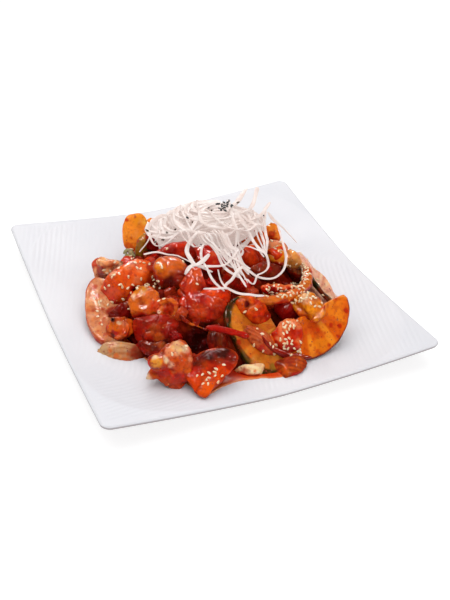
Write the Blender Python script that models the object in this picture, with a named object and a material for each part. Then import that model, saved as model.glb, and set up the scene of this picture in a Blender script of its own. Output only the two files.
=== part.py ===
"""A square white porcelain plate with a heap of spicy squid salad and a nest of noodle ribbons.

Metres, +Z up. The origin is under the plate's centre, and the plate's front edge lies along X.
Sizes and places below are in millimetres and become metres where a mesh is made.
"""

import math
import random

import bmesh
import bpy
import numpy as np
from mathutils import Vector
from mathutils.bvhtree import BVHTree

MM = 0.001
CLEAR = 0.3  # the gap that resting pieces keep
OVER_ALL = 120.0  # a height above everything

# The plate: a square with bowed-up corners, a flat middle and a square foot ring.
PLATE_HALF = 135.0
CORNER_RADIUS = 7.0
WELL_TOP = 8.0
WELL_SHARE = 0.5  # the flat middle's share of the half side
EDGE_RISE = 5.0  # from the flat middle up to the middle of an edge
CORNER_RISE = 10.4  # from the middle of an edge up to a corner
CORNER_POWER = 1.45
RIM_THICK = 3.6
FLOOR_THICK = 5.0
FOOT_OUTER = 76.0
FOOT_INNER = 69.0
FOOT_RADIUS = 26.0
FOOT_TAPER = 2.5
RIM_PROFILE = ((0.3, 0.7), (0.0, 1.6), (0.4, 2.8), (1.8, RIM_THICK))  # insets and depths round the rim
TOP_RING_HALVES = (66, 80, 94, 108, 121, PLATE_HALF - 1.2)
RADIUS_GAIN = 0.28  # how much rounder the rings get for each millimetre inwards
SIDE_POINTS = 7
ARC_POINTS = 3

# The heap's core, which the pieces that show are fused to.
HEAP_X, HEAP_Y = -7.0, -15.0
HEAP_RADIUS = 86.0
HEAP_TOP = 47.0
HEAP_POWER = 2.6
HEAP_SIDES = 20

# The side that faces away: its places, their first angle and step, and each row's reach and height.
BACK_PLACES = 6
BACK_FROM, BACK_STEP = 10, 23
LOW_ROW = (84, 18)
HIGH_ROW = (66, 37)

# The nest's core, a low dome with its long axis turned from X.
NEST_X, NEST_Y = 12.0, 28.0
NEST_LONG = 48.0
NEST_WIDE = 32.0
NEST_TURN = -25.0
NEST_TOP = 72.0
NEST_EDGE = 54.0
NEST_SIDES = 18
RIBBON_WIDE = 3.5
RIBBON_THICK = 1.0
RIBBON_STEP = 6.5
WRAPS = 6
LOOPS = 2

SEED_LONG, SEED_WIDE, SEED_THICK = 3.3, 2.0, 1.2
SEED_OUT = 0.22  # how far a seed's middle stands out, as a share of its thickness
CHUNK_BANDS, CHUNK_SIDES = 5, 8
PETAL_THICK = 2.0

# Half-moon slices: both tips of the cut edge, the top of the rind's arc, the thickness, how far
# the flesh goes on behind the tips, the bend, and how pointed the arc is, 1 for a round one.
HALF_MOONS = {
    "apple_right": ((9, -92, 26), (83, -77, 38), (49, -104, 11), 7, 5, 2, 1),
    "apple_left": ((-102, -37, 9), (-88, 22, 27), (-107, -1, 18), 7, 16, 3, 1),
    "apple_back": ((-45, 62, 14), (-21, 58, 46), (-49, 70, 47), 8, 5, 2, 1),
    "apple_upper": ((-97, -12, 27), (-48, 8, 51), (-79, 12, 44), 9, 18, -2, 1),
    "apple_pink": ((78, 0, 31), (91, -47, 12), (93, -18, 15), 5, 12, 2, 1),
    "cucumber_front": ((-2, -56, 46), (12, -110, 9), (-21, -79, 27), 8, 13, 2, 1),
    "cucumber_right": ((72, -31, 36), (85, -56, 18), (84, -38, 31), 6, 10, 0, 1),
    "carrot_front": ((-59, -93, 11), (-17, -95, 17), (-51, -119, 9), 8, 14, 0, 1.5),
    "carrot_upper": ((-11, -60, 47), (21, -70, 41), (6, -85, 37), 7, 8, 1, 1),
}

# Squid and vegetable chunks: the centre, the three sizes and the turn about Z in degrees.
CHUNKS = {
    "squid_knob": ((-77, 33, 28), (34, 24, 22), -25),
    "squid_knob_tip": ((-83, 40, 30), (14, 12, 18), 20),
    "squid_left": ((-69, -33, 36), (28, 30, 30), 10),
    "squid_curled": ((-90, -37, 22), (27, 24, 24), -20),
    "squid_front": ((-64, -88, 21), (36, 35, 36), 15),
    "squid_front_knob": ((-77, -87, 25), (16, 14, 15), 0),
    "squid_front_tip": ((-82, -89, 14), (16, 9, 9), 10),
    "squid_opened": ((-27, -62, 42), (46, 32, 22), -20),
    "squid_opened_lobe": ((-34, -38, 46), (22, 32, 22), 30),
    "squid_seeded": ((50, -77, 34), (29, 26, 26), 20),
    "pepper_red": ((-32, 9, 51), (36, 22, 18), -25),
    "pepper_orange": ((-41, -14, 47), (30, 28, 28), 0),
    "pepper_dark": ((36, -66, 31), (24, 20, 24), 10),
    "tentacles": ((31, -54, 42), (26, 16, 18), -15),
    "carrot_middle": ((27, -18, 48), (26, 20, 16), -20),
    "carrot_brown": ((32, -36, 45), (32, 20, 14), -10),
    "pepper_middle": ((-11, -22, 50), (26, 26, 20), 40),
    "carrot_long": ((-14, -56, 47), (30, 15, 14), -10),
    "herb": ((-54, 50, 26), (18, 10, 10), -30),
}

# Cut blocks: the centre, the three sizes and the turn about Z in degrees.
BLOCKS = {
    "apple_block": ((64, 20, 41), (13, 14, 22), 20),
    "radish_block": ((62, 6, 39), (17, 13, 14), -15),
    "carrot_block": ((57, -7, 38), (16, 14, 14), 10),
    "cucumber_block": ((63, -17, 38), (20, 15, 17), -25),
    "cucumber_back": ((-40, 50, 33), (17, 10, 20), 35),
}

# Rolled-over rims of squid pieces: the rim's middle, its radius, its thickness and its facing.
CURLS = {
    "curl_left": ((-55, -43, 36), 8.5, 3.6, (-0.4, -0.8, 0.4)),
    "curl_cavity": ((-92, -40, 26), 8.0, 3.4, (-0.6, -0.6, 0.5)),
    "curl_front": ((-62, -92, 30), 9.0, 3.4, (-0.2, -0.7, 0.7)),
    "curl_seeded": ((55, -84, 30), 9.0, 3.0, (0.1, -0.8, 0.6)),
    "curl_opened": ((-30, -70, 37), 14.0, 3.2, (-0.3, -0.8, 0.6)),
}

# Onion petals: the tip, the root, the width and the curl.
PETALS = {
    "onion_left": ((-113, -46, 12), (-70, -62, 15), 21, 5),
    "onion_dark_upper": ((-86, -46, 24), (-53, -64, 34), 20, 7),
    "onion_dark_lower": ((-84, -55, 17), (-52, -72, 27), 20, 7),
    "onion_fan": ((-28, -72, 37), (-30, -90, 22), 15, 5),
    "onion_clear": ((-6, -84, 38), (12, -101, 22), 15, 4),
    "onion_sliver": ((-27, -99, 13), (3, -106, 12), 9, 1),
    "onion_right": ((20, -97, 20), (12, -116, 9), 15, 3),
}

# Round strips: the points that the strip passes and its radius.
STRIPS = {
    "squid_ring": (((9, -66, 45), (24, -69, 45), (42, -65, 43), (59, -53, 41), (69, -35, 41)), 4.4),
    "chilli_strip": (((-36, -74, 38), (-22, -84, 38), (-8, -92, 35)), 3.0),
}

# White sesame: where a cluster's seeds lie, how far they spread and how many there are.
WHITE_SEEDS = {
    "on_squid_seeded": (46, -74, 8, 6),
    "on_apple_right": (22, -91, 8, 4),
    "on_ring": (48, -58, 10, 4),
    "on_tentacles": (30, -55, 6, 2),
    "on_squid_left": (-70, -32, 8, 3),
    "on_apple_upper": (-78, 2, 10, 3),
    "on_carrot_front": (-44, -104, 8, 2),
    "on_middle": (-34, -24, 16, 2),
    "on_back": (10, 50, 30, 2),
}

# Noodle ribbons that leave the nest: the plan points each one passes.
HANGING_RIBBONS = {
    "left_low": ((-54, 12), (-44, 9), (-37, -1), (-28, -11), (-20, -23), (-12, -32)),
    "left_loop": (
        (-4, 5), (-15, 6), (-23, -2), (-24, -11), (-22, -22), (-12, -28), (0, -30), (11, -22),
    ),
    "front_left": ((-11, -4), (-16, -14), (-17, -30), (-17, -42), (-13, -54)),
    "blunt": ((-36, -30), (-24, -24), (-9, -17)),
    "front_arc": (
        (-12, -53), (-8, -48), (7, -42), (18, -47), (30, -49), (43, -42), (53, -27), (60, -9), (50, 14),
    ),
    "front_line": ((-26, -45), (-12, -53), (1, -61), (14, -68)),
    "right_fall": ((56, 22), (63, 17), (71, 10), (79, 0)),
    "front_fold": ((4, -52), (9, -54), (18, -47), (31, -36), (32, -25), (25, -12)),
    "left_edge": ((-34, 46), (-42, 39), (-44, 31), (-54, 22)),
}

# Ribbons whose loose ends stand up from the nest: the points each one passes.
LOOSE_ENDS = {
    "tall": ((20, 20, 69), (34, 30, 74), (48, 42, 79)),
    "outer": ((30, 14, 64), (46, 26, 70), (58, 42, 77)),
    "right": ((38, 8, 60), (52, 18, 66), (63, 27, 70)),
}

BLACK_SEED_SPOTS = (
    (21, 31), (17, 36), (24, 28), (19, 27), (28, 25), (10, 34), (-10, 30), (36, 30), (-22, 22),
)


def clear_scene():
    for old in list(bpy.data.objects):
        bpy.data.objects.remove(old)


def finish(name, colour, roughness):
    """A Principled material in one colour."""
    material = bpy.data.materials.new(name)
    material.use_nodes = True
    shader = material.node_tree.nodes["Principled BSDF"]
    shader.inputs["Base Color"].default_value = (*colour, 1.0)
    shader.inputs["Roughness"].default_value = roughness
    shader.inputs["Metallic"].default_value = 0.0
    return material


def turned(x, y, degrees):
    """A plan point turned about the origin."""
    cosine, sine = math.cos(math.radians(degrees)), math.sin(math.radians(degrees))
    return x * cosine - y * sine, x * sine + y * cosine


def signed_power(value, power):
    return math.copysign(abs(value) ** power, value)


def unit(vector):
    vector = np.asarray(vector, float)
    return vector / np.linalg.norm(vector)


def across(direction, face):
    """The sideways and the facing direction of a piece that runs along direction."""
    side = unit(np.cross(face, direction))
    return side, unit(np.cross(direction, side))


def loft(rings):
    """Points and faces of a closed solid through rings of equal count, each end drawn to its middle."""
    rings = np.asarray(rings, float)
    count, sides = rings.shape[:2]
    points = np.vstack([rings.reshape(-1, 3), rings[0].mean(axis=0), rings[-1].mean(axis=0)])
    first_middle = count * sides
    last_middle = first_middle + 1
    last_ring = (count - 1) * sides
    faces = []
    for side in range(sides):
        after = (side + 1) % sides
        faces.append((first_middle, after, side))
        faces.append((last_middle, last_ring + side, last_ring + after))
        for ring in range(count - 1):
            low = ring * sides
            high = low + sides
            faces.append((low + side, low + after, high + after, high + side))
    return points, faces


def make_object(name, points, faces, home):
    """A closed mesh object whose faces point outwards, from points in millimetres."""
    mesh = bpy.data.meshes.new(name)
    mesh.from_pydata((np.asarray(points) * MM).tolist(), [], faces)
    work = bmesh.new()
    work.from_mesh(mesh)
    bmesh.ops.recalc_face_normals(work, faces=work.faces)
    bmesh.ops.triangulate(work, faces=work.faces)
    work.to_mesh(mesh)
    work.free()
    made = bpy.data.objects.new(name, mesh)
    home.objects.link(made)
    return made


# ---- the plate ----


def plate_top(x, y):
    """The height of the plate's upper face."""
    across_x = abs(x) / PLATE_HALF
    across_y = abs(y) / PLATE_HALF
    reach = (across_x**4 + across_y**4) ** 0.25
    slope = min(max((reach - WELL_SHARE) / (1 - WELL_SHARE), 0), 1)
    corner = (across_x * across_y) ** CORNER_POWER
    return WELL_TOP + EDGE_RISE * slope**2 + CORNER_RISE * corner * slope


def rounded_square(half, radius):
    """The plan points of a square with round corners, anticlockwise."""
    straight = half - radius
    points = []
    for corner in range(4):
        quarter = []
        for step in range(ARC_POINTS + 1):
            angle = step * math.pi / 2 / ARC_POINTS
            quarter.append((straight + radius * math.cos(angle), straight + radius * math.sin(angle)))
        for step in range(1, SIDE_POINTS + 1):
            quarter.append((straight - 2 * straight * step / (SIDE_POINTS + 1), half))
        points.extend(turned(x, y, 90 * corner) for x, y in quarter)
    return points


def plate_ring(half, radius, height):
    """One ring of the plate, its height given by a function of x and y."""
    return [(x, y, height(x, y)) for x, y in rounded_square(half, radius)]


def top_rings(lift):
    """Rings of the upper face from the middle to the rim, raised by lift."""
    rings = []
    for half in TOP_RING_HALVES:
        radius = CORNER_RADIUS + (PLATE_HALF - half) * RADIUS_GAIN
        rings.append(plate_ring(half, radius, lambda x, y: plate_top(x, y) + lift))
    return rings


def make_plate(material):
    def below(depth):
        return lambda x, y: plate_top(x, y) - depth

    def level(height):
        return lambda x, y: height

    rings = top_rings(0.0)
    for inset, depth in RIM_PROFILE:
        rings.append(plate_ring(PLATE_HALF - inset, CORNER_RADIUS, below(depth)))
    rings.append(plate_ring(112, 14, below(RIM_THICK + 0.6)))
    rings.append(plate_ring(92, 20, below(FLOOR_THICK)))
    rings.append(plate_ring(FOOT_OUTER + FOOT_TAPER, FOOT_RADIUS, below(FLOOR_THICK)))
    rings.append(plate_ring(FOOT_OUTER, FOOT_RADIUS, level(0.0)))
    rings.append(plate_ring(FOOT_INNER, FOOT_RADIUS, level(0.0)))
    rings.append(plate_ring(FOOT_INNER - FOOT_TAPER, FOOT_RADIUS, level(WELL_TOP - FLOOR_THICK)))
    points, faces = loft(rings)
    plate = make_object("plate", points, faces, bpy.context.scene.collection)
    plate.data.materials.append(material)
    plate.data.shade_smooth()
    plate.data.set_sharp_from_angle(angle=math.radians(50))


def space_above_plate():
    """A closed block that starts the clearance above the plate's upper face."""
    rings = top_rings(CLEAR)
    rings.append([(x, y, OVER_ALL) for x, y, _ in rings[-1]])
    points, faces = loft(rings)
    block = make_object("space_above_plate", points, faces, bpy.context.scene.collection)
    block.hide_render = True
    block.display_type = "WIRE"
    return block


# ---- shapes of the food ----


def half_moon(tip_a, tip_b, crown, thickness, deep, bend, point, home):
    """A slice with a round rind from tip to tip and a straight cut behind them."""
    tip_a, tip_b, crown = (np.array(place, float) for place in (tip_a, tip_b, crown))
    middle = (tip_a + tip_b) / 2
    half = (tip_b - tip_a) / 2
    rise = crown - middle
    normal = unit(np.cross(half, rise))
    outline = []
    for step in range(10):
        angle = math.pi * step / 9
        outline.append(half * signed_power(math.cos(angle), point) + rise * math.sin(angle) ** point)
    for share in (-0.85, 0.0, 0.85):
        outline.append(half * share - unit(rise) * deep)
    outline = np.array(outline)
    reach = np.linalg.norm(half)
    bow = bend * ((outline @ unit(half)) / reach) ** 2
    rings = []
    for share, inset in ((-0.5, 0.95), (0.0, 1.0), (0.5, 0.95)):
        rings.append(middle + outline * inset + np.outer(thickness * share + bow, normal))
    make_object("slice", *loft(rings), home)


def chunk(centre, size, turn, order, home):
    """A lumpy round piece, a little square and never quite even."""
    draw = random.Random(order)
    three_lobes, up_down, two_lobes, tilt = (draw.uniform(0, 2 * math.pi) for _ in range(4))
    rings = []
    for band in range(1, CHUNK_BANDS):
        polar = math.pi * band / CHUNK_BANDS
        ring = []
        for side in range(CHUNK_SIDES):
            angle = 2 * math.pi * side / CHUNK_SIDES
            swell = 1 + 0.10 * math.sin(3 * angle + three_lobes) * math.sin(2 * polar + up_down)
            swell += 0.07 * math.sin(2 * angle + two_lobes)
            reach = math.sin(polar) ** 0.8 * swell / 2
            x = size[0] * reach * signed_power(math.cos(angle), 0.85)
            y = size[1] * reach * signed_power(math.sin(angle), 0.85)
            z = size[2] / 2 * math.cos(polar) * (1 + 0.12 * math.sin(angle + tilt))
            x, y = turned(x, y, turn)
            ring.append((centre[0] + x, centre[1] + y, centre[2] + z))
        rings.append(ring)
    make_object("chunk", *loft(rings), home)


def block(centre, size, turn, home):
    """A cut cube with soft edges."""
    rings = []
    for level, inset in ((-0.5, 0.84), (-0.36, 1.0), (0.36, 1.0), (0.5, 0.84)):
        ring = []
        for step in range(8):
            angle = math.pi * (step + 0.5) / 4
            x = size[0] / 2 * inset * signed_power(math.cos(angle), 0.4)
            y = size[1] / 2 * inset * signed_power(math.sin(angle), 0.4)
            x, y = turned(x, y, turn)
            ring.append((centre[0] + x, centre[1] + y, centre[2] + level * size[2]))
        rings.append(ring)
    make_object("block", *loft(rings), home)


def tube(path, radius, sides, home, taper=0.6):
    """A round strip along a path, drawn in at both ends."""
    path = np.asarray(path, float)
    along = np.gradient(path, axis=0)
    rings = []
    for place, (point, direction) in enumerate(zip(path, along)):
        end = min(place, len(path) - 1 - place)
        here = radius * (taper if end == 0 else 1.0)
        side, face = across(unit(direction), (0, 0, 1))
        angles = [2 * math.pi * step / sides for step in range(sides)]
        round_it = [math.cos(angle) * side + math.sin(angle) * face for angle in angles]
        rings.append([point + here * outward for outward in round_it])
    make_object("strip", *loft(rings), home)


def curl(middle, radius, thickness, facing, home):
    """The rolled rim of a squid piece: most of a ring that faces outwards."""
    facing = unit(facing)
    side, up = across(facing, (0, 0, 1))
    path = []
    for step in range(8):
        angle = math.radians(-150 + 260 * step / 7)
        path.append(np.array(middle) + radius * (math.cos(angle) * side + math.sin(angle) * up))
    tube(path, thickness, 5, home, taper=0.5)


def petal(tip, root, width, curve, home):
    """An onion petal: a thin shell, pointed at the tip and blunt at the root."""
    tip, root = np.array(tip, float), np.array(root, float)
    direction = unit(root - tip)
    outward = (tip + root) / 2 - np.array([HEAP_X, HEAP_Y, 0])
    outward[2] = 0
    side, face = across(direction, unit(outward) + np.array([0, 0, 1]))
    rings = []
    for station in range(6):
        along = station / 5
        half = width / 2 * (0.12 + 0.88 * math.sin(math.pi * min(0.06 + along * 0.86, 1)) ** 0.75)
        bow = -curve * (2 * along - 1) ** 2
        ring = []
        for share, lift in ((-1, 0), (-0.4, 1), (0.4, 1), (1, 0), (0.4, -1), (-0.4, -1)):
            height = bow - curve * share**2 + PETAL_THICK / 2 * lift
            ring.append(tip + (root - tip) * along + side * half * share + face * height)
        rings.append(ring)
    make_object("petal", *loft(rings), home)


def seed(place, normal, turn, home):
    """A sesame seed lying on a surface."""
    normal = unit(normal)
    side, along = across(normal, (math.cos(turn), math.sin(turn), 0.01))
    middle = np.array(place) + normal * SEED_THICK * SEED_OUT
    rings = []
    for station, share in ((-0.82, 0.5), (0.0, 1.0), (0.82, 0.62)):
        ring = []
        for step in range(4):
            angle = math.pi * (step + 0.5) / 2
            wide = side * math.cos(angle) * SEED_WIDE / 2 * share
            thick = normal * math.sin(angle) * SEED_THICK / 2 * share
            ring.append(middle + along * station * SEED_LONG / 2 + wide + thick)
        rings.append(ring)
    make_object("seed", *loft(rings), home)


# ---- joining ----


def surface_of(objects):
    """A search tree over the faces of several objects, in metres."""
    points = []
    faces = []
    for piece in objects:
        first = len(points)
        points.extend(vertex.co.copy() for vertex in piece.data.vertices)
        faces.extend([first + corner for corner in face.vertices] for face in piece.data.polygons)
    return BVHTree.FromPolygons(points, faces)


def drop(surface, x, y):
    """Where a ray from above meets a surface, in millimetres, and the surface's normal there."""
    start = Vector((x * MM, y * MM, OVER_ALL * MM))
    place, normal, _, _ = surface.ray_cast(start, Vector((0, 0, -1)))
    if place is None:
        return None, None
    return np.array(place) / MM, np.array(normal)


def apply_boolean(target, operation, other=None, group=None):
    modifier = target.modifiers.new(operation.lower(), "BOOLEAN")
    modifier.operation = operation
    modifier.solver = "MANIFOLD"
    if group:
        modifier.operand_type = "COLLECTION"
        modifier.collection = group
    else:
        modifier.object = other
    bpy.context.view_layer.update()
    graph = bpy.context.evaluated_depsgraph_get()
    mesh = bpy.data.meshes.new_from_object(target.evaluated_get(graph))
    target.modifiers.clear()
    target.data = mesh


def keep_main_body(target):
    """Fills the hollows that fusing sealed and drops loose scraps: only the largest shell stays."""
    work = bmesh.new()
    work.from_mesh(target.data)
    work.faces.ensure_lookup_table()
    seen = set()
    shells = []
    for start in work.faces:
        if start.index in seen:
            continue
        seen.add(start.index)
        shell = [start]
        for face in shell:
            for edge in face.edges:
                for neighbour in edge.link_faces:
                    if neighbour.index not in seen:
                        seen.add(neighbour.index)
                        shell.append(neighbour)
        shells.append(shell)
    shells.sort(key=len)
    for shell in shells[:-1]:
        bmesh.ops.delete(work, geom=shell, context="FACES")
    loose = [vertex for vertex in work.verts if not vertex.link_faces]
    bmesh.ops.delete(work, geom=loose, context="VERTS")
    work.to_mesh(target.data)
    work.free()


def new_group(name):
    group = bpy.data.collections.new(name)
    bpy.context.scene.collection.children.link(group)
    return group


def remove_group(group):
    for piece in list(group.objects):
        bpy.data.objects.remove(piece)
    bpy.data.collections.remove(group)


# ---- the heap ----


def heap_height(x, y):
    """The core's height over the plan, lumpy at the size of the pieces."""
    reach = math.hypot(x - HEAP_X, y - HEAP_Y) / HEAP_RADIUS
    dome = max(0.0, 1 - reach**HEAP_POWER)
    lumps = 1.6 * math.sin(x / 9.0) * math.sin(y / 8.0 + 1)
    return WELL_TOP + (HEAP_TOP - WELL_TOP) * dome + lumps * dome


def make_heap_core():
    rings = []
    for share in (0.25, 0.48, 0.68, 0.84, 0.96, 1.0):
        ring = []
        for step in range(HEAP_SIDES):
            angle = 2 * math.pi * step / HEAP_SIDES
            uneven = 1 + 0.035 * math.sin(3 * angle + 0.6) + 0.025 * math.sin(7 * angle)
            x = HEAP_X + HEAP_RADIUS * share * uneven * math.cos(angle)
            y = HEAP_Y + HEAP_RADIUS * share * uneven * math.sin(angle)
            ring.append((x, y, max(heap_height(x, y), WELL_TOP + 2.5)))
        rings.append(ring)
    rings.append([(x, y, WELL_TOP - 4) for x, y, _ in rings[-1]])
    points, faces = loft(rings)
    return make_object("salad_heap", points, faces, bpy.context.scene.collection)


def back_of_heap(home):
    """The side that faces away carries the same kinds of piece, set out by a rule."""
    draw = random.Random(11)
    for order in range(BACK_PLACES):
        degrees = BACK_FROM + BACK_STEP * order
        outward = np.array([*turned(1, 0, degrees), 0])
        along = np.array([*turned(0, 1, degrees), 0])
        low = np.array([HEAP_X, HEAP_Y, LOW_ROW[1]]) + outward * LOW_ROW[0]
        high = np.array([HEAP_X, HEAP_Y, HIGH_ROW[1]]) + outward * HIGH_ROW[0]
        if order % 3 == 1:
            crown = low + outward * 12 - np.array([0, 0, 7])
            half_moon(low - along * 21, low + along * 21, crown, 7, 12, 2, 1, home)
        else:
            size = (30 + draw.uniform(-4, 4), 24 + draw.uniform(-3, 3), 24)
            chunk(low, size, degrees + 90, 40 + order, home)
        if order % 2:
            block(high, (20, 14, 15), degrees + 40, home)
        else:
            chunk(high, (28, 22, 18), degrees + 70, 60 + order, home)


def sow_white_seeds(home):
    surface = surface_of(home.objects)
    draw = random.Random(5)
    for x, y, spread, count in WHITE_SEEDS.values():
        for _ in range(count):
            seed_x = x + draw.uniform(-spread, spread)
            seed_y = y + draw.uniform(-spread, spread)
            place, normal = drop(surface, seed_x, seed_y)
            if place is not None and normal[2] > 0.3:
                seed(place, normal, draw.uniform(0, math.pi), home)


def make_heap(material):
    pieces = new_group("heap_pieces")
    for values in HALF_MOONS.values():
        half_moon(*values, pieces)
    for order, values in enumerate(CHUNKS.values()):
        chunk(*values, order, pieces)
    for values in BLOCKS.values():
        block(*values, pieces)
    for values in CURLS.values():
        curl(*values, pieces)
    for values in PETALS.values():
        petal(*values, pieces)
    for path, radius in STRIPS.values():
        tube(smooth_path(path, 6.0), radius, 6, pieces)
    back_of_heap(pieces)
    sow_white_seeds(pieces)
    heap = make_heap_core()
    apply_boolean(heap, "UNION", group=pieces)
    remove_group(pieces)
    keep_main_body(heap)
    above = space_above_plate()
    apply_boolean(heap, "INTERSECT", other=above)
    bpy.data.objects.remove(above)
    keep_main_body(heap)
    heap.data.materials.clear()
    heap.data.materials.append(material)
    return heap


# ---- the noodle nest ----


def smooth_path(points, step):
    """Points at an even step along a smooth curve through the given ones."""
    points = np.asarray(points, float)
    knots = np.concatenate([[0], np.cumsum(np.linalg.norm(np.diff(points, axis=0), axis=1))])
    fine = np.linspace(0, knots[-1], 80)
    slopes = np.gradient(points, knots, axis=0)
    curve = []
    for value in fine:
        span = min(np.searchsorted(knots, value, side="right") - 1, len(knots) - 2)
        length = knots[span + 1] - knots[span]
        share = (value - knots[span]) / length
        start, end = points[span], points[span + 1]
        tangent_a, tangent_b = slopes[span] * length, slopes[span + 1] * length
        curve.append(
            (2 * share**3 - 3 * share**2 + 1) * start
            + (share**3 - 2 * share**2 + share) * tangent_a
            + (3 * share**2 - 2 * share**3) * end
            + (share**3 - share**2) * tangent_b
        )
    curve = np.array(curve)
    travelled = np.concatenate([[0], np.cumsum(np.linalg.norm(np.diff(curve, axis=0), axis=1))])
    stations = np.linspace(0, travelled[-1], max(3, round(travelled[-1] / step) + 1))
    columns = [np.interp(stations, travelled, curve[:, axis]) for axis in range(curve.shape[1])]
    return np.stack(columns, axis=1)


def nest_plan(angle, share):
    """A plan point of the nest's oval at an angle, share of the way out."""
    x, y = turned(NEST_LONG * share * math.cos(angle), NEST_WIDE * share * math.sin(angle), NEST_TURN)
    return NEST_X + x, NEST_Y + y


def nest_share(x, y):
    """How far out a plan point lies in the nest's oval, 1 at its edge."""
    along, wide = turned(x - NEST_X, y - NEST_Y, -NEST_TURN)
    return math.hypot(along / NEST_LONG, wide / NEST_WIDE)


def nest_height(x, y):
    """The height of the nest's domed top."""
    return NEST_EDGE + (NEST_TOP - NEST_EDGE) * max(0.0, 1 - nest_share(x, y) ** 2.2)


def highest_near(surface, x, y, reach):
    """The surface's highest point within reach of a plan point."""
    found = [WELL_TOP]
    for dx in (-1, -0.5, 0, 0.5, 1):
        for dy in (-1, -0.5, 0, 0.5, 1):
            place, _ = drop(surface, x + dx * reach, y + dy * reach)
            if place is not None:
                found.append(place[2])
    return max(found)


def above_bed(bed, x, y):
    """The height at which a ribbon clears the heap."""
    return highest_near(bed, x, y, 4.5) + CLEAR + 1.0


def make_nest_core(bed):
    top = []
    under = []
    angles = [2 * math.pi * step / NEST_SIDES for step in range(NEST_SIDES)]
    for share in (0.3, 0.56, 0.8, 0.95):
        plan = [nest_plan(angle, share) for angle in angles]
        floor = [highest_near(bed, x, y, 7.0) + CLEAR + 0.2 for x, y in plan]
        under.append([(x, y, low) for (x, y), low in zip(plan, floor)])
        top.append([(x, y, max(nest_height(x, y), low + 2.0)) for (x, y), low in zip(plan, floor)])
    rim = []
    for angle, over, below in zip(angles, top[-1], under[-1]):
        rim.append((*nest_plan(angle, 1.0), (over[2] + below[2]) / 2))
    points, faces = loft(under + [rim] + top[::-1])
    return make_object("noodle_nest", points, faces, bpy.context.scene.collection)


def ribbon(path, home):
    """A flat noodle along a path."""
    along = np.gradient(path, axis=0)
    rings = []
    for point, direction in zip(path, along):
        side, face = across(unit(direction), (0, 0, 1))
        wide = side * RIBBON_WIDE / 2
        thick = face * RIBBON_THICK / 2
        rings.append([point + wide * x + thick * y for x, y in ((-1, -1), (1, -1), (1, 1), (-1, 1))])
    make_object("ribbon", *loft(rings), home)


def wrap_nest(bed, home):
    """Ribbons that arch over the nest's top, and loops that run round its rim."""
    draw = random.Random(3)
    for order in range(WRAPS):
        start = math.pi * order / WRAPS + draw.uniform(-0.2, 0.2)
        near = nest_plan(start, 0.92)
        far = nest_plan(start + math.pi + draw.uniform(-0.9, 0.9), 0.92)
        middle = nest_plan(start + math.pi / 2, draw.uniform(-0.45, 0.45))
        arch = draw.uniform(3.0, 7.0)
        route = smooth_path((near, middle, far), RIBBON_STEP)
        path = []
        for station, (x, y) in enumerate(route):
            rise = arch * math.sin(math.pi * station / (len(route) - 1)) - 0.4
            path.append((x, y, max(nest_height(x, y) + rise, above_bed(bed, x, y))))
        ribbon(np.array(path), home)
    for order in range(LOOPS):
        start = draw.uniform(0, 2 * math.pi)
        path = []
        for station in range(16):
            x, y = nest_plan(start + station * 0.3, 0.97 + 0.07 * math.sin(station * 0.9 + order))
            path.append((x, y, max(NEST_EDGE - 1 + 4 * order, above_bed(bed, x, y))))
        ribbon(np.array(path), home)


def make_nest(material, heap):
    bed = surface_of([heap])
    ribbons = new_group("nest_ribbons")
    core = make_nest_core(bed)
    for plan in HANGING_RIBBONS.values():
        path = []
        for x, y in smooth_path(plan, RIBBON_STEP):
            over_nest = nest_height(x, y) if nest_share(x, y) < 1 else 0
            path.append((x, y, max(over_nest, above_bed(bed, x, y))))
        ribbon(np.array(path), ribbons)
    for points in LOOSE_ENDS.values():
        ribbon(smooth_path(points, RIBBON_STEP), ribbons)
    wrap_nest(bed, ribbons)
    surface = surface_of([core, *ribbons.objects])
    for order, (x, y) in enumerate(BLACK_SEED_SPOTS):
        place, normal = drop(surface, x, y)
        if place is not None:
            seed(place, normal, order * 1.1, ribbons)
    apply_boolean(core, "UNION", group=ribbons)
    remove_group(ribbons)
    keep_main_body(core)
    core.data.materials.clear()
    core.data.materials.append(material)


def main():
    clear_scene()
    porcelain = finish("porcelain", (0.83, 0.82, 0.85), 0.22)
    salad = finish("salad", (0.62, 0.13, 0.03), 0.25)
    noodle = finish("noodle", (0.85, 0.77, 0.73), 0.5)
    make_plate(porcelain)
    heap = make_heap(salad)
    make_nest(noodle, heap)


main()
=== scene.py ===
"""Looks for a square white plate with a heap of spicy squid salad and a nest of noodle ribbons.

Places and sizes are in millimetres in the part's own frame and become metres where a mesh is made.
"""

import math
import random

import bmesh
import bpy
import numpy as np
from mathutils import Matrix, Vector
from mathutils.bvhtree import BVHTree


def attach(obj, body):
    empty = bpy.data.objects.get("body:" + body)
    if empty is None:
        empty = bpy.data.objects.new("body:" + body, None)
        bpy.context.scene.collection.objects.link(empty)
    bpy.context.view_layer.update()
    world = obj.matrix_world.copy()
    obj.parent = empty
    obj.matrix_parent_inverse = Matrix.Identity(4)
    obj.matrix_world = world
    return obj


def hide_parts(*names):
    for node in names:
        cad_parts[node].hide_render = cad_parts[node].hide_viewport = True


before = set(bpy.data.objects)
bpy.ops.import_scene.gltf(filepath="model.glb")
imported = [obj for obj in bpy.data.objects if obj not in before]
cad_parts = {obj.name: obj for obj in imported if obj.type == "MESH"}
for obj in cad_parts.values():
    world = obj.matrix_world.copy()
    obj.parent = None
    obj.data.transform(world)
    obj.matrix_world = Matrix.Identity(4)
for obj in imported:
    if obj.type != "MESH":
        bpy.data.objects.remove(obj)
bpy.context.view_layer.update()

MM = 0.001
OVER_ALL = 120.0  # a height above everything

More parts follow.
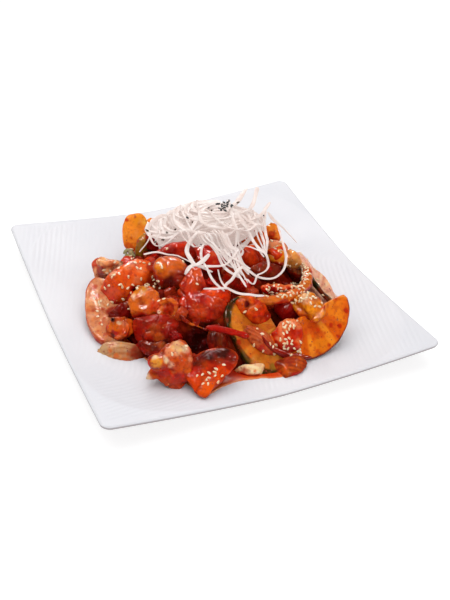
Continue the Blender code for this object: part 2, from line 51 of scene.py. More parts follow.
# The photograph's camera.
AZIMUTH, ELEVATION, ROLL = -24.9946, 35.6637, 3.5078
DISTANCE = 756.4
AIM_HEIGHT = 13.0
IMAGE_WIDE, IMAGE_HIGH = 450, 600
FOCAL = 914.32  # in pixels
OFF_RIGHT, OFF_DOWN = -15.1771, -10.345
SENSOR = 36.0

# The plate.
PLATE_HALF = 135.0
CORNER_RADIUS = 7.0
WELL_TOP = 8.0
WELL_SHARE = 0.5
EDGE_RISE = 5.0
CORNER_RISE = 10.4
CORNER_POWER = 1.45
RIM_THICK = 3.6
FLOOR_THICK = 5.0
RIM_PROFILE = ((0.3, 0.7), (0.0, 1.6), (0.4, 2.8), (1.8, RIM_THICK))
FOOT_OUTER, FOOT_INNER, FOOT_RADIUS, FOOT_TAPER = 76.0, 69.0, 26.0, 2.5
PLATE_CELLS = 276

# The heap and the nest.
HEAP_X, HEAP_Y = -7.0, -15.0
HEAP_RADIUS = 86.0
HEAP_TOP = 47.0
HEAP_POWER = 2.6
NEST_X, NEST_Y = 12.0, 28.0
NEST_LONG, NEST_WIDE, NEST_TURN = 48.0, 32.0, -25.0
NEST_TOP, NEST_EDGE = 72.0, 54.0
RIBBON_WIDE, RIBBON_THICK = 3.0, 0.7


# ---- small tools ----


def colour(red, green, blue):
    """Screen values from 0 to 255 as a linear colour."""
    screen = np.array([red, green, blue], float) / 255
    return np.where(screen <= 0.04045, screen / 12.92, ((screen + 0.055) / 1.055) ** 2.4)


CREAM = colour(240, 214, 184)
PEACH = colour(238, 168, 124)
ORANGE = colour(232, 122, 22)
AMBER = colour(226, 140, 34)
OCHRE = colour(205, 140, 52)
VERMILION = colour(214, 66, 22)
RED = colour(186, 34, 22)
CRIMSON = colour(150, 20, 22)
WINE = colour(84, 12, 15)
BLACKISH = colour(24, 3, 4)
RIND_RED = colour(112, 16, 24)
GREEN = colour(34, 50, 18)
OLIVE = colour(122, 112, 46)
GREY_GREEN = colour(150, 154, 124)
SCARLET = colour(206, 52, 20)
TAN = colour(222, 112, 44)
BLUSH = colour(236, 158, 122)
GOLD = colour(240, 156, 48)
PORCELAIN = colour(225, 224, 228)
PORCELAIN_COOL = colour(221, 221, 226)


def add_object(name, data):
    made = bpy.data.objects.new(name, data)
    bpy.context.scene.collection.objects.link(made)
    return made


def unit(vector):
    vector = np.asarray(vector, float)
    return vector / np.linalg.norm(vector)


def units(vectors):
    return vectors / np.maximum(np.linalg.norm(vectors, axis=-1, keepdims=True), 1e-9)


def turned(x, y, degrees):
    cosine, sine = math.cos(math.radians(degrees)), math.sin(math.radians(degrees))
    return x * cosine - y * sine, x * sine + y * cosine


def signed_power(value, power):
    return np.sign(value) * np.abs(value) ** power


def smoothstep(low, high, value):
    share = np.clip((value - low) / (high - low), 0, 1)
    return share * share * (3 - 2 * share)


def lattice(cells, seed):
    """A repeatable value from -1 to 1 for each whole-numbered place."""
    mixed = cells[..., 0] * 374761393 + cells[..., 1] * 668265263 + cells[..., 2] * 1274126177
    mixed = (mixed + seed * 1442695041) & 0xFFFFFFFF
    mixed = ((mixed ^ (mixed >> 13)) * 1274126177) & 0xFFFFFFFF
    mixed = ((mixed ^ (mixed >> 16)) * 2246822519) & 0xFFFFFFFF
    return (mixed ^ (mixed >> 15)) / 2147483647.5 - 1


def rough(points, width, seed):
    """Smooth noise from -1 to 1 at each point, its features about width millimetres across."""
    places = np.asarray(points, float) / width + 0.37 * seed
    low = np.floor(places).astype(np.int64)
    share = places - low
    share = share * share * (3 - 2 * share)
    total = np.zeros(len(places))
    for corner in range(8):
        step = np.array([corner & 1, corner >> 1 & 1, corner >> 2 & 1])
        weight = np.prod(np.where(step, share, 1 - share), axis=1)
        total += weight * lattice(low + step, seed)
    return total


# ---- the camera's line of sight ----


def camera_axes():
    azimuth, elevation, roll = (math.radians(angle) for angle in (AZIMUTH, ELEVATION, ROLL))
    back = np.array(
        [
            math.sin(azimuth) * math.cos(elevation),
            -math.cos(azimuth) * math.cos(elevation),
            math.sin(elevation),
        ]
    )
    right = unit(np.cross(-back, (0, 0, 1)))
    up = np.cross(right, -back)
    rolled_right = right * math.cos(roll) + up * math.sin(roll)
    rolled_up = up * math.cos(roll) - right * math.sin(roll)
    return rolled_right, rolled_up, back, back * DISTANCE + np.array([0, 0, AIM_HEIGHT])


RIGHT, UP, BACK, EYE = camera_axes()


def sight(across, down):
    """The direction from the camera through a place in the picture."""
    return unit(
        -BACK
        + RIGHT * (across - IMAGE_WIDE / 2 - OFF_RIGHT) / FOCAL
        - UP * (down - IMAGE_HIGH / 2 - OFF_DOWN) / FOCAL
    )


def seen(surface, across, down):
    """Where the line of sight meets a surface, and the surface's normal there."""
    place, normal, _, _ = surface.ray_cast(Vector(EYE), Vector(sight(across, down)))
    if place is None:
        return None, None
    return np.array(place), np.array(normal)


def pictured(points):
    """Where points show in the picture, across and down."""
    away = np.atleast_2d(points) - EYE
    deep = -(away @ BACK)
    return (
        away @ RIGHT / deep * FOCAL + IMAGE_WIDE / 2 + OFF_RIGHT,
        -(away @ UP) / deep * FOCAL + IMAGE_HIGH / 2 + OFF_DOWN,
    )


def at_height(across, down, height):
    """The point on the line of sight that has this height."""
    direction = sight(across, down)
    return EYE + direction * (height - EYE[2]) / direction[2]


def at_heights(spots, heights):
    return [at_height(across, down, height) for (across, down), height in zip(spots, heights)]


def make_camera():
    data = bpy.data.cameras.new("camera")
    data.sensor_width = SENSOR
    data.lens = FOCAL / IMAGE_HIGH * SENSOR
    data.shift_x = -OFF_RIGHT / IMAGE_HIGH
    data.shift_y = OFF_DOWN / IMAGE_HIGH
    data.clip_start, data.clip_end = 0.02, 30
    camera = add_object("camera", data)
    turn = Matrix([[RIGHT[row], UP[row], BACK[row]] for row in range(3)]).to_4x4()
    camera.matrix_world = Matrix.Translation(Vector(EYE * MM)) @ turn
    bpy.context.scene.camera = camera


# ---- forms: points in millimetres with their faces ----


def loft(rings):
    """A closed form through rings of equal count, each end drawn to its middle."""
    rings = np.asarray(rings, float)
    count, sides = rings.shape[:2]
    points = np.vstack([rings.reshape(-1, 3), rings[0].mean(axis=0), rings[-1].mean(axis=0)])
    first_middle, last_middle = count * sides, count * sides + 1
    last_ring = (count - 1) * sides
    faces = []
    for side in range(sides):
        after = (side + 1) % sides
        faces.append((first_middle, after, side))
        faces.append((last_middle, last_ring + side, last_ring + after))
        for ring in range(count - 1):
            low, high = ring * sides, (ring + 1) * sides
            faces.append((low + side, low + after, high + after, high + side))
    return points, faces


def turning(turn, tilt, lean):
    """Tilt about X, lean about Y and then turn about Z, in degrees."""
    about_x = Matrix.Rotation(math.radians(tilt), 3, "X")
    about_y = Matrix.Rotation(math.radians(lean), 3, "Y")
    about_z = Matrix.Rotation(math.radians(turn), 3, "Z")
    return np.array(about_z @ about_y @ about_x)


def ball(centre, size, turn=0, tilt=0, lean=0, square=1.0, bands=14, sides=22):
    """A closed egg or, with square well below 1, a block with soft edges."""
    rings = []
    for band in range(bands + 1):
        polar = math.pi * (band + 0.15) / (bands + 0.3)
        reach, height = abs(math.sin(polar)) ** square, signed_power(math.cos(polar), square)
        ring = []
        for side in range(sides):
            angle = 2 * math.pi * side / sides
            x, y = signed_power(math.cos(angle), square), signed_power(math.sin(angle), square)
            ring.append((size[0] / 2 * reach * x, size[1] / 2 * reach * y, size[2] / 2 * height))
        rings.append(ring)
    return loft(np.array(rings) @ turning(turn, tilt, lean).T + np.array(centre, float))


def smooth_path(points, step):
    """Points at an even step along a smooth curve through the given ones."""
    points = np.asarray(points, float)
    knots = np.concatenate([[0], np.cumsum(np.linalg.norm(np.diff(points, axis=0), axis=1))])
    slopes = np.gradient(points, knots, axis=0)
    fine = np.linspace(0, knots[-1], 400)
    span = np.clip(np.searchsorted(knots, fine, side="right") - 1, 0, len(knots) - 2)
    length = (knots[span + 1] - knots[span])[:, None]
    share = (fine - knots[span])[:, None] / length
    curve = (
        (2 * share**3 - 3 * share**2 + 1) * points[span]
        + (share**3 - 2 * share**2 + share) * slopes[span] * length
        + (3 * share**2 - 2 * share**3) * points[span + 1]
        + (share**3 - share**2) * slopes[span + 1] * length
    )
    travelled = np.concatenate([[0], np.cumsum(np.linalg.norm(np.diff(curve, axis=0), axis=1))])
    stations = np.linspace(0, travelled[-1], max(3, round(travelled[-1] / step) + 1))
    return np.stack([np.interp(stations, travelled, column) for column in curve.T], axis=1)


def roll(points, wide, thick, face=(0, 0, 1), step=1.5, sides=12, ends=0.25):
    """A closed strip along a path, wide and thick in its cross-section, drawn in at both ends."""
    path = smooth_path(points, step)
    along = units(np.gradient(path, axis=0))
    side = units(np.cross(np.asarray(face, float), along))
    upward = np.cross(along, side)
    place = np.linspace(0, 1, len(path))
    widths = np.interp(place, np.linspace(0, 1, len(np.atleast_1d(wide))), np.atleast_1d(wide))
    thicks = np.interp(place, np.linspace(0, 1, len(np.atleast_1d(thick))), np.atleast_1d(thick))
    drawn = np.minimum(1, ends + (1 - ends) * np.sqrt(np.minimum(place, 1 - place) * len(path) / 3))
    rings = []
    for step_side in range(sides):
        angle = 2 * math.pi * step_side / sides
        outward = side * (widths * drawn / 2 * math.cos(angle))[:, None]
        rings.append(path + outward + upward * (thicks * drawn / 2 * math.sin(angle))[:, None])
    return loft(np.swapaxes(np.array(rings), 0, 1))


def sheet(grid, thickness):
    """A closed thin sheet over a grid of points, thinner towards its edges."""
    grid = np.asarray(grid, float)
    rows, columns = grid.shape[:2]
    normals = units(np.cross(np.gradient(grid, axis=0), np.gradient(grid, axis=1)))
    down = np.linspace(0, 1, rows)[:, None]
    over = np.linspace(0, 1, columns)[None, :]
    edge = np.minimum(np.minimum(down, 1 - down) * rows, np.minimum(over, 1 - over) * columns)
    half = thickness / 2 * (0.35 + 0.65 * np.sqrt(np.clip(edge / 2.5, 0, 1)))[..., None]
    points = np.vstack([(grid + normals * half).reshape(-1, 3), (grid - normals * half).reshape(-1, 3)])
    other = rows * columns
    faces = []
    for row in range(rows - 1):
        for column in range(columns - 1):
            a = row * columns + column
            b, c, d = a + 1, a + columns + 1, a + columns
            faces.append((a, b, c, d))
            faces.append((other + d, other + c, other + b, other + a))
    border = list(range(columns))
    border += [row * columns + columns - 1 for row in range(1, rows)]
    border += [(rows - 1) * columns + column for column in range(columns - 2, -1, -1)]
    border += [row * columns for row in range(rows - 2, 0, -1)]
    for first, second in zip(border, border[1:] + border[:1]):
        faces.append((second, first, other + first, other + second))
    return points, faces


def half_moon(tip_a, tip_b, crown, thickness, deep, bend=0, point=1, dish=0.0):
    """A slice with a round rind from tip to tip and a straight cut behind them."""
    tip_a, tip_b, crown = (np.array(place, float) for place in (tip_a, tip_b, crown))
    middle, half = (tip_a + tip_b) / 2, (tip_b - tip_a) / 2
    rise = crown - middle
    normal = unit(np.cross(half, rise))
    outline = []
    for step in range(41):
        angle = math.pi * step / 40
        outline.append(half * signed_power(math.cos(angle), point) + rise * math.sin(angle) ** point)
    for share in np.linspace(-0.94, 0.94, 13):
        outline.append(half * share - unit(rise) * deep * (1 - 0.25 * share**4))
    outline = np.array(outline)
    reach = np.linalg.norm(half)
    bow = bend * ((outline @ unit(half)) / reach) ** 2
    rings = []
    profile = ((-0.5, 0.3), (-0.5, 0.7), (-0.5, 0.93), (-0.44, 0.98), (-0.25, 1.0), (0.25, 1.0))
    for share, inset in profile + ((0.44, 0.98), (0.5, 0.93), (0.5, 0.7), (0.5, 0.3)):
        sunk = dish * (1 - inset) * 2 * np.sign(share) if inset < 0.9 else 0
        rings.append(middle + outline * inset + np.outer(thickness * share - sunk + bow, normal))
    return loft(rings)


def on_plane(centre, across, down, out=0.0, facing=BACK):
    """Where a line of sight meets the plane through centre that faces this way, moved out from it."""
    ray = sight(across, down)
    return EYE + ray * (((np.asarray(centre) - EYE) @ facing) / (ray @ facing)) + facing * out


def mound(centre, front, back, outline, facing=BACK, fullness=0.45, cuts=5):
    """A closed form with the given outline in the picture, bulging in front and behind, cut flat in front."""
    facing = unit(facing)
    here = np.array([on_plane(centre, across, down, 0, facing) for across, down in outline])
    before, after, later = np.roll(here, 1, 0), np.roll(here, -1, 0), np.roll(here, -2, 0)
    share = np.arange(0, 1, 0.25)[None, :, None]
    before, here, after, later = (corner[:, None, :] for corner in (before, here, after, later))
    edge = 2 * here + (after - before) * share + (2 * before - 5 * here + 4 * after - later) * share**2
    edge = ((edge + (3 * here - before - 3 * after + later) * share**3) / 2).reshape(-1, 3)
    middle = edge.mean(axis=0)
    rings = []
    for angle in np.radians(np.linspace(86, -86, 19)):
        bulge = (front if angle > 0 else back) * math.sin(angle)
        rings.append(middle + (edge - middle) * math.cos(angle) ** fullness + facing * bulge)
    rings = np.array(rings)
    draw = random.Random(round(abs(middle[0]) * 10))
    size = np.linalg.norm(edge - middle, axis=1).mean()
    turn = draw.uniform(0, 360)
    for cut in range(cuts):
        lean = math.radians(turn + cut * 360 / cuts)
        slope = draw.uniform(0.4, 1.2)
        away = unit(facing + slope * (math.cos(lean) * RIGHT + math.sin(lean) * UP))
        limit = math.hypot(front, slope * size) / math.hypot(1, slope) * draw.uniform(0.62, 0.8)
        over = np.clip((rings - middle) @ away - limit, 0, None)
        rings = rings - over[..., None] * 0.85 * facing / max(0.3, facing @ away)
    return loft(rings)


def fuse(forms, voxel, smoothing):
    """Several forms made one even skin, its creases softened."""
    points, faces, first = [], [], 0
    for form_points, form_faces in forms:
        points.append(form_points)
        faces.extend([first + corner for corner in face] for face in form_faces)
        first += len(form_points)
    work = mesh_object("work", np.vstack(points), faces)
    remesh = work.modifiers.new("skin", "REMESH")
    remesh.mode = "VOXEL"
    remesh.voxel_size = voxel * MM
    soften = work.modifiers.new("soften", "SMOOTH")
    soften.factor = 0.5
    soften.iterations = smoothing
    mesh = evaluated_mesh(work)
    bpy.data.objects.remove(work)
    points = np.zeros(len(mesh.vertices) * 3)
    mesh.vertices.foreach_get("co", points)
    faces = [tuple(face.vertices) for face in mesh.polygons]
    bpy.data.meshes.remove(mesh)
    return points.reshape(-1, 3) / MM, faces


def mesh_object(name, points, faces):
    mesh = bpy.data.meshes.new(name)
    mesh.from_pydata((np.asarray(points) * MM).tolist(), [], faces)
    work = bmesh.new()
    work.from_mesh(mesh)
    bmesh.ops.recalc_face_normals(work, faces=work.faces)
    work.to_mesh(mesh)
    work.free()
    return add_object(name, mesh)


def evaluated_mesh(thing):
    bpy.context.view_layer.update()
    graph = bpy.context.evaluated_depsgraph_get()
    return bpy.data.meshes.new_from_object(thing.evaluated_get(graph))


def read_mesh(thing):
    """A mesh object's points in millimetres and its normals."""
    mesh = thing.data
    points, normals = np.zeros(len(mesh.vertices) * 3), np.zeros(len(mesh.vertices) * 3)
    mesh.vertices.foreach_get("co", points)
    mesh.vertex_normals.foreach_get("vector", normals)
    return points.reshape(-1, 3) / MM, normals.reshape(-1, 3)


def surface_of(things):
    """A search tree over mesh objects, in millimetres."""
    points, faces = [], []
    for thing in things:
        first = len(points)
        points.extend(vertex.co / MM for vertex in thing.data.vertices)
        faces.extend([first + corner for corner in face.vertices] for face in thing.data.polygons)
    return BVHTree.FromPolygons(points, faces)


# ---- materials ----


def new_material(name):
    material = bpy.data.materials.new(name)
    material.use_nodes = True
    tree = material.node_tree
    return material, tree, tree.nodes["Principled BSDF"]


def set_inputs(made, values):
    for label, value in values.items():
        made.inputs[label].default_value = value


def noise_node(tree, places, feature, detail, seed):
    """A noise whose features are about feature millimetres across."""
    node = tree.nodes.new("ShaderNodeTexNoise")
    node.noise_dimensions = "4D"
    set_inputs(node, {"W": seed, "Scale": 1 / (feature * MM), "Detail": detail})
    tree.links.new(places, node.inputs["Vector"])
    return node.outputs["Fac"]


def ramp(tree, value, low, high, low_value=0.0, high_value=1.0):
    node = tree.nodes.new("ShaderNodeMapRange")
    node.interpolation_type = "SMOOTHSTEP"
    set_inputs(node, {"From Min": low, "From Max": high, "To Min": low_value, "To Max": high_value})
    tree.links.new(value, node.inputs["Value"])
    return node.outputs["Result"]


def product(tree, first, second):
    node = tree.nodes.new("ShaderNodeMath")
    node.operation = "MULTIPLY"
    tree.links.new(first, node.inputs[0])
    if isinstance(second, float):
        node.inputs[1].default_value = second
    else:
        tree.links.new(second, node.inputs[1])
    return node.outputs[0]


def blend(tree, share, first, second, kind="MIX"):
    """A colour mixed towards second, each given as a socket or a linear colour."""
    node = tree.nodes.new("ShaderNodeMix")
    node.data_type = "RGBA"
    node.blend_type = kind
    tree.links.new(share, node.inputs["Factor"])
    for socket, value in ((node.inputs[6], first), (node.inputs[7], second)):
        if isinstance(value, bpy.types.NodeSocket):
            tree.links.new(value, socket)
        else:
            socket.default_value = (*value, 1.0)
    return node.outputs[2]


def bump(tree, layers):
    """Bumps on bumps: each layer is a height socket and its depth in millimetres."""
    last = None
    for height, depth in layers:
        node = tree.nodes.new("ShaderNodeBump")
        set_inputs(node, {"Strength": 1.0, "Distance": depth * MM})
        tree.links.new(height, node.inputs["Height"])
        if last is not None:
            tree.links.new(last, node.inputs["Normal"])
        last = node.outputs["Normal"]
    return last


def dots(tree, places, apart, size, seed):
    """Small round dots, one to a cell, up to size of the cell's width."""
    cells = tree.nodes.new("ShaderNodeTexVoronoi")
    cells.voronoi_dimensions = "4D"
    set_inputs(cells, {"W": seed, "Scale": 1 / (apart * MM)})
    tree.links.new(places, cells.inputs["Vector"])
    return ramp(tree, cells.outputs["Distance"], size, size * 0.6)


FLESH_SOFTNESS = (1.0, 0.3, 0.12)
FIBRE = 0.3  # the depth of the flesh's fibres in millimetres


def dressed_food(
    name, stain=SCARLET, stains=0.5, freckles=0.6, gloss=0.3, wrinkle=0.3, depth=0.12, coat=0.75,
    mottle=0.65, shine=0.1,
):
    """Food in a red dressing: its own painted tint, stains and chilli freckles, and a wet, uneven skin."""
    material, tree, shader = new_material(name)
    nodes, links = tree.nodes, tree.links
    places = nodes.new("ShaderNodeTexCoord").outputs["Object"]
    tint = nodes.new("ShaderNodeAttribute")
    tint.attribute_name = "tint"
    cloud = noise_node(tree, places, 7.0, 4.0, 1.0)
    spots = noise_node(tree, places, 2.8, 6.0, 5.0)
    fine = noise_node(tree, places, 1.1, 2.0, 9.0)
    shade = blend(tree, ramp(tree, cloud, 0.46, 0.70, 0.0, stains), tint.outputs["Color"], stain)
    darker = blend(tree, ramp(tree, spots, 0.5, 0.66, 0.0, mottle), shade, (0.55, 0.28, 0.25), "MULTIPLY")
    lighter = blend(tree, ramp(tree, spots, 0.46, 0.32, 0.0, mottle * 0.7), darker, (0.98, 0.66, 0.32), "OVERLAY")
    flecks = product(tree, dots(tree, places, 3.6, 0.22, 2.0), ramp(tree, cloud, 0.40, 0.52, 0.0, freckles))
    flecked = blend(tree, flecks, lighter, CRIMSON)
    bits = product(tree, dots(tree, places, 5.2, 0.16, 7.0), ramp(tree, fine, 0.4, 0.55, 0.0, freckles * 0.7))
    links.new(blend(tree, bits, flecked, colour(238, 176, 104)), shader.inputs["Base Color"])
    links.new(ramp(tree, spots, 0.3, 0.75, gloss * 0.8, gloss * 1.5), shader.inputs["Roughness"])
    drawn = nodes.new("ShaderNodeMapping")
    set_inputs(drawn, {"Rotation": (0.3, 0.5, 0.6), "Scale": (0.3, 1.0, 1.0)})
    links.new(places, drawn.inputs["Vector"])
    fibres = noise_node(tree, drawn.outputs[0], 2.2, 3.0, 11.0)
    links.new(bump(tree, ((spots, wrinkle), (fibres, FIBRE), (fine, wrinkle * 0.3))), shader.inputs["Normal"])
    wet = noise_node(tree, places, 1.7, 2.0, 3.0)
    film = bump(tree, ((wet, wrinkle * 1.1), (fibres, FIBRE * 1.8), (spots, wrinkle * 0.3)))
    links.new(film, shader.inputs["Coat Normal"])
    links.new(ramp(tree, cloud, 0.35, 0.6, coat * 0.5, coat), shader.inputs["Coat Weight"])
    set_inputs(shader, {
        "Specular IOR Level": shine, "Specular Tint": (1.0, 0.5, 0.35, 1), "Coat Roughness": 0.07, "Coat IOR": 1.45,
        "Subsurface Weight": depth, "Subsurface Radius": FLESH_SOFTNESS, "Subsurface Scale": 3.0 * MM,
    })
    return material


def white_porcelain():
    material, tree, shader = new_material("white_porcelain")
    nodes, links = tree.nodes, tree.links
    places = nodes.new("ShaderNodeTexCoord").outputs["Object"]
    cloud = noise_node(tree, places, 60.0, 2.0, 2.0)
    specks = noise_node(tree, places, 1.2, 2.0, 4.0)
    # Painted shade: the plate's lower rim and underside are painted a darker grey.
    underside_shade = nodes.new("ShaderNodeAttribute")
    underside_shade.attribute_name = "underside_shade"
    glaze = blend(tree, ramp(tree, cloud, 0.35, 0.7), PORCELAIN, PORCELAIN_COOL)
    links.new(blend(tree, underside_shade.outputs["Fac"], glaze, colour(158, 150, 152)), shader.inputs["Base Color"])
    links.new(ramp(tree, cloud, 0.3, 0.7, 0.42, 0.5), shader.inputs["Roughness"])
    links.new(bump(tree, ((cloud, 0.2), (specks, 0.003))), shader.inputs["Normal"])
    shader.inputs["Specular IOR Level"].default_value = 0.1
    return material


WRINKLE = 0.1


def plain_finish(name, tint, other, roughness, feature, coat=0.0, depth=0.0, soft=(1.0, 0.8, 0.6)):
    """A finish in two close tones that wander over features of the given size."""
    material, tree, shader = new_material(name)
    places = tree.nodes.new("ShaderNodeTexCoord").outputs["Object"]
    cloud = noise_node(tree, places, feature, 3.0, 6.0)
    grain = noise_node(tree, places, feature / 4, 2.0, 8.0)
    tree.links.new(blend(tree, ramp(tree, cloud, 0.35, 0.65), tint, other), shader.inputs["Base Color"])
    tree.links.new(ramp(tree, grain, 0.3, 0.7, roughness * 0.8, roughness * 1.2), shader.inputs["Roughness"])
    tree.links.new(bump(tree, ((cloud, WRINKLE), (grain, WRINKLE / 4))), shader.inputs["Normal"])
    set_inputs(shader, {
        "Coat Weight": coat, "Coat Roughness": 0.1, "Subsurface Weight": depth, "Subsurface Radius": soft,
        "Subsurface Scale": 2.0 * MM,
    })
    return material


def noodle_finish():
    """White crisp noodle that light passes into, with a painted glow that lightens the shade between its ribbons."""
    soft = (1.0, 0.9, 0.85)
    material = plain_finish("crisp_noodle", colour(193, 180, 174), colour(185, 165, 157), 0.5, 9.0, 0.0, 0.6, soft)
    shader = material.node_tree.nodes["Principled BSDF"]
    # Emission: a painted glow that lifts the shade between the ribbons.
    set_inputs(shader, {
        "Emission Color": (*colour(250, 240, 236), 1), "Emission Strength": 0.25, "Subsurface Scale": 4.0 * MM,
        "Specular IOR Level": 0.3,
    })
    return material


# ---- the plate ----

# The underside inside the rim: half width, corner radius and depth below the upper face.
UNDERSIDE = (
    *((PLATE_HALF - inset, CORNER_RADIUS, depth) for inset, depth in RIM_PROFILE),
    (124, 10, RIM_THICK + 0.3), (112, 14, RIM_THICK + 0.6), (101, 17, RIM_THICK + 1.1),
    (92, 20, FLOOR_THICK), (FOOT_OUTER + FOOT_TAPER + 1, FOOT_RADIUS, FLOOR_THICK),
)
# The foot and the floor inside it: half width and height.
FOOT_RINGS = (
    (FOOT_OUTER + 0.6, 0.5), (FOOT_OUTER, 0.0), (FOOT_INNER, 0.0), (FOOT_INNER - 0.6, 0.5),
    (FOOT_INNER - FOOT_TAPER, WELL_TOP - FLOOR_THICK), (40, WELL_TOP - FLOOR_THICK), (12, WELL_TOP - FLOOR_THICK),
)
RIDGE_PITCH = 4.7
RIDGE_HIGH = 0.2
RIDGE_BENDS = ((-200, -0.7), (-138, -0.7), (-112, 0.5), (86, 0.5), (96, -0.4), (112, -1.4), (130, -1.7), (200, -0.7))


def plate_top(x, y):
    """The height of the plate's upper face, without its relief."""
    across_x, across_y = np.abs(x) / PLATE_HALF, np.abs(y) / PLATE_HALF
    reach = (across_x**4 + across_y**4) ** 0.25
    slope = np.clip((reach - WELL_SHARE) / (1 - WELL_SHARE), 0, 1)
    corner = (across_x * across_y) ** CORNER_POWER
    return WELL_TOP + EDGE_RISE * slope**2 + CORNER_RISE * corner * slope


def raked_relief(x, y):
    """Low ridges side by side that bend together across a diagonal, like raked sand."""
    knots, slopes = np.array(RIDGE_BENDS, float).T
    table = np.arange(-200, 201, 1.0)
    drift = np.cumsum(np.interp(table, knots, slopes))
    along, over = (x + y) / math.sqrt(2), (x - y) / math.sqrt(2)
    phase = 2 * math.pi * (over + np.interp(along, table, drift)) / RIDGE_PITCH
    crest = 0.5 + 0.5 * np.cos(phase)
    inset = PLATE_HALF - np.maximum(np.abs(x), np.abs(y))
    return RIDGE_HIGH * (crest**1.4 - 0.45) * smoothstep(2, 10, inset)


def rounded(a, b, half, radius):
    """Plan points of a rounded square from points of the square from -1 to 1."""
    x, y = np.abs(a) * half, np.abs(b) * half
    straight = half - radius
    p, q = np.clip((x - straight) / radius, 0, 1), np.clip((y - straight) / radius, 0, 1)
    corner = (p > 0) & (q > 0)
    x = np.where(corner, straight + radius * p * np.sqrt(1 - q * q / 2), x)
    y = np.where(corner, straight + radius * q * np.sqrt(1 - p * p / 2), y)
    return np.sign(a) * x, np.sign(b) * y


def serve_plate():
    cells = PLATE_CELLS
    share = np.linspace(-1, 1, cells + 1)
    a, b = (axis.ravel() for axis in np.meshgrid(share, share, indexing="ij"))
    x, y = rounded(a, b, PLATE_HALF - 1.2, CORNER_RADIUS)
    levels = [np.stack([x, y, plate_top(x, y) + raked_relief(x, y)], axis=1)]
    faces = []
    for i in range(cells):
        for j in range(cells):
            first = i * (cells + 1) + j
            faces.append((first, first + cells + 1, first + cells + 2, first + 1))
    loop = [i * (cells + 1) for i in range(cells + 1)]
    loop += [cells * (cells + 1) + j for j in range(1, cells + 1)]
    loop += [i * (cells + 1) + cells for i in range(cells - 1, -1, -1)]
    loop += list(range(cells - 1, 0, -1))
    rim_a, rim_b = a[loop], b[loop]
    levels_below = []
    for half, radius, depth in UNDERSIDE:
        x, y = rounded(rim_a, rim_b, half, radius)
        levels_below.append((x, y, plate_top(x, y) - depth))
    for half, height in FOOT_RINGS:
        x, y = rounded(rim_a, rim_b, half, min(FOOT_RADIUS, half * 0.8))
        levels_below.append((x, y, np.full(len(x), height)))
    count, previous, first = len(loop), loop, len(a)
    for x, y, z in levels_below:
        levels.append(np.stack([x, y, z], axis=1))
        ring = list(range(first, first + count))
        for side in range(count):
            after = (side + 1) % count
            faces.append((previous[side], ring[side], ring[after], previous[after]))
        previous, first = ring, first + count
    levels.append(np.array([[0, 0, WELL_TOP - FLOOR_THICK]]))
    for side in range(count):
        faces.append((previous[side], first, previous[(side + 1) % count]))
    plate = mesh_object("white_plate", np.vstack(levels), faces)
    plate.data.shade_smooth()
    # Painted shade: every point from the rim's outer wall downwards gets 1, which darkens it; the upper face and the
    # rim's edge get 0.
    underside_shade = np.ones(len(plate.data.vertices))
    underside_shade[:len(a) + count] = 0
    plate.data.attributes.new("underside_shade", "FLOAT", "POINT").data.foreach_set("value", underside_shade)
    plate.data.materials.append(white_porcelain())
    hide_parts("plate")
    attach(plate, "root")


# ---- the dressing on the plate ----

POOL_EDGE = (
    (-62, -93), (-58, -107), (-53, -117), (-44, -115), (-34, -111), (-21, -110), (-8, -112), (3, -115),
    (13, -117), (23, -113), (33, -106), (46, -100), (62, -90), (76, -60), (76, -20), (66, 25), (40, 55),
    (0, 66), (-40, 60), (-72, 38), (-88, 5), (-90, -35), (-78, -64), (-72, -82),
)

POOL_SHARES = (0.12, 0.3, 0.48, 0.64, 0.76, 0.85, 0.91, 0.94, 0.96, 0.975, 0.985, 0.993, 1.0)
FILM = 0.9  # the dressing's thickness


def serve_dressing(material):
    """A thin closed film of dressing that lies on the plate and thins out to its edge."""
    edge = smooth_path(np.array(POOL_EDGE + POOL_EDGE[:1], float), 2.0)[:-1]
    wobble = rough(np.column_stack([edge, np.zeros(len(edge))]), 7, 21)
    middle = np.array([HEAP_X, HEAP_Y])
    edge = edge + units(edge - middle) * (0.9 * wobble)[:, None]
    upper, lower = [], []
    for share in POOL_SHARES:
        x, y = (middle + (edge - middle) * share).T
        film = FILM * math.sqrt(max(0.0, 1 - share**16))
        ripple = 0.25 * rough(np.column_stack([x, y, np.zeros(len(x))]), 11, 4)
        base = plate_top(x, y)
        top = base + film * (1 + ripple) + 0.12
        upper.append(np.column_stack([x, y, top]))
        lower.append(np.column_stack([x, y, base - 0.4]))
    bearing = np.arctan2(*(edge - middle).T[::-1])
    order = np.argsort(bearing)
    reach = np.linalg.norm(edge - middle, axis=1)

    def tint(points, normals):
        away = points[:, :2] - middle
        limit = np.interp(np.arctan2(away[:, 1], away[:, 0]), bearing[order], reach[order], period=2 * math.pi)
        inset = limit - np.linalg.norm(away, axis=1) + 0.8 * rough(points, 5, 2)
        tinted = mixed(colour(228, 150, 112), colour(216, 84, 36), smoothstep(0.3, 2.4, inset)[:, None])
        tinted = mixed(tinted, RED, smoothstep(2.0, 10, inset)[:, None] * 0.8)
        return mixed(tinted, WINE, smoothstep(8, 26, inset)[:, None])

    serve("dressing_pool", loft(upper + lower[::-1]), material, tint, ((8.0, 0.1),))


# ---- tints ----


# The orange of oil patches, lightened on faces that turn up: partly the oil's own colour, partly a painted highlight.
OIL_AND_SHEEN = np.array([0.3, 0.11, 0.012])


def mixed(first, second, share):
    return np.asarray(first) * (1 - share) + np.asarray(second) * share


def inside_heap(points):
    """About 1 on the heap's outer face and less inside it."""
    reach = np.hypot(points[:, 0] - HEAP_X, points[:, 1] - HEAP_Y) / (HEAP_RADIUS + 8)
    return reach**HEAP_POWER + (points[:, 2] - WELL_TOP) / (HEAP_TOP - WELL_TOP + 8)
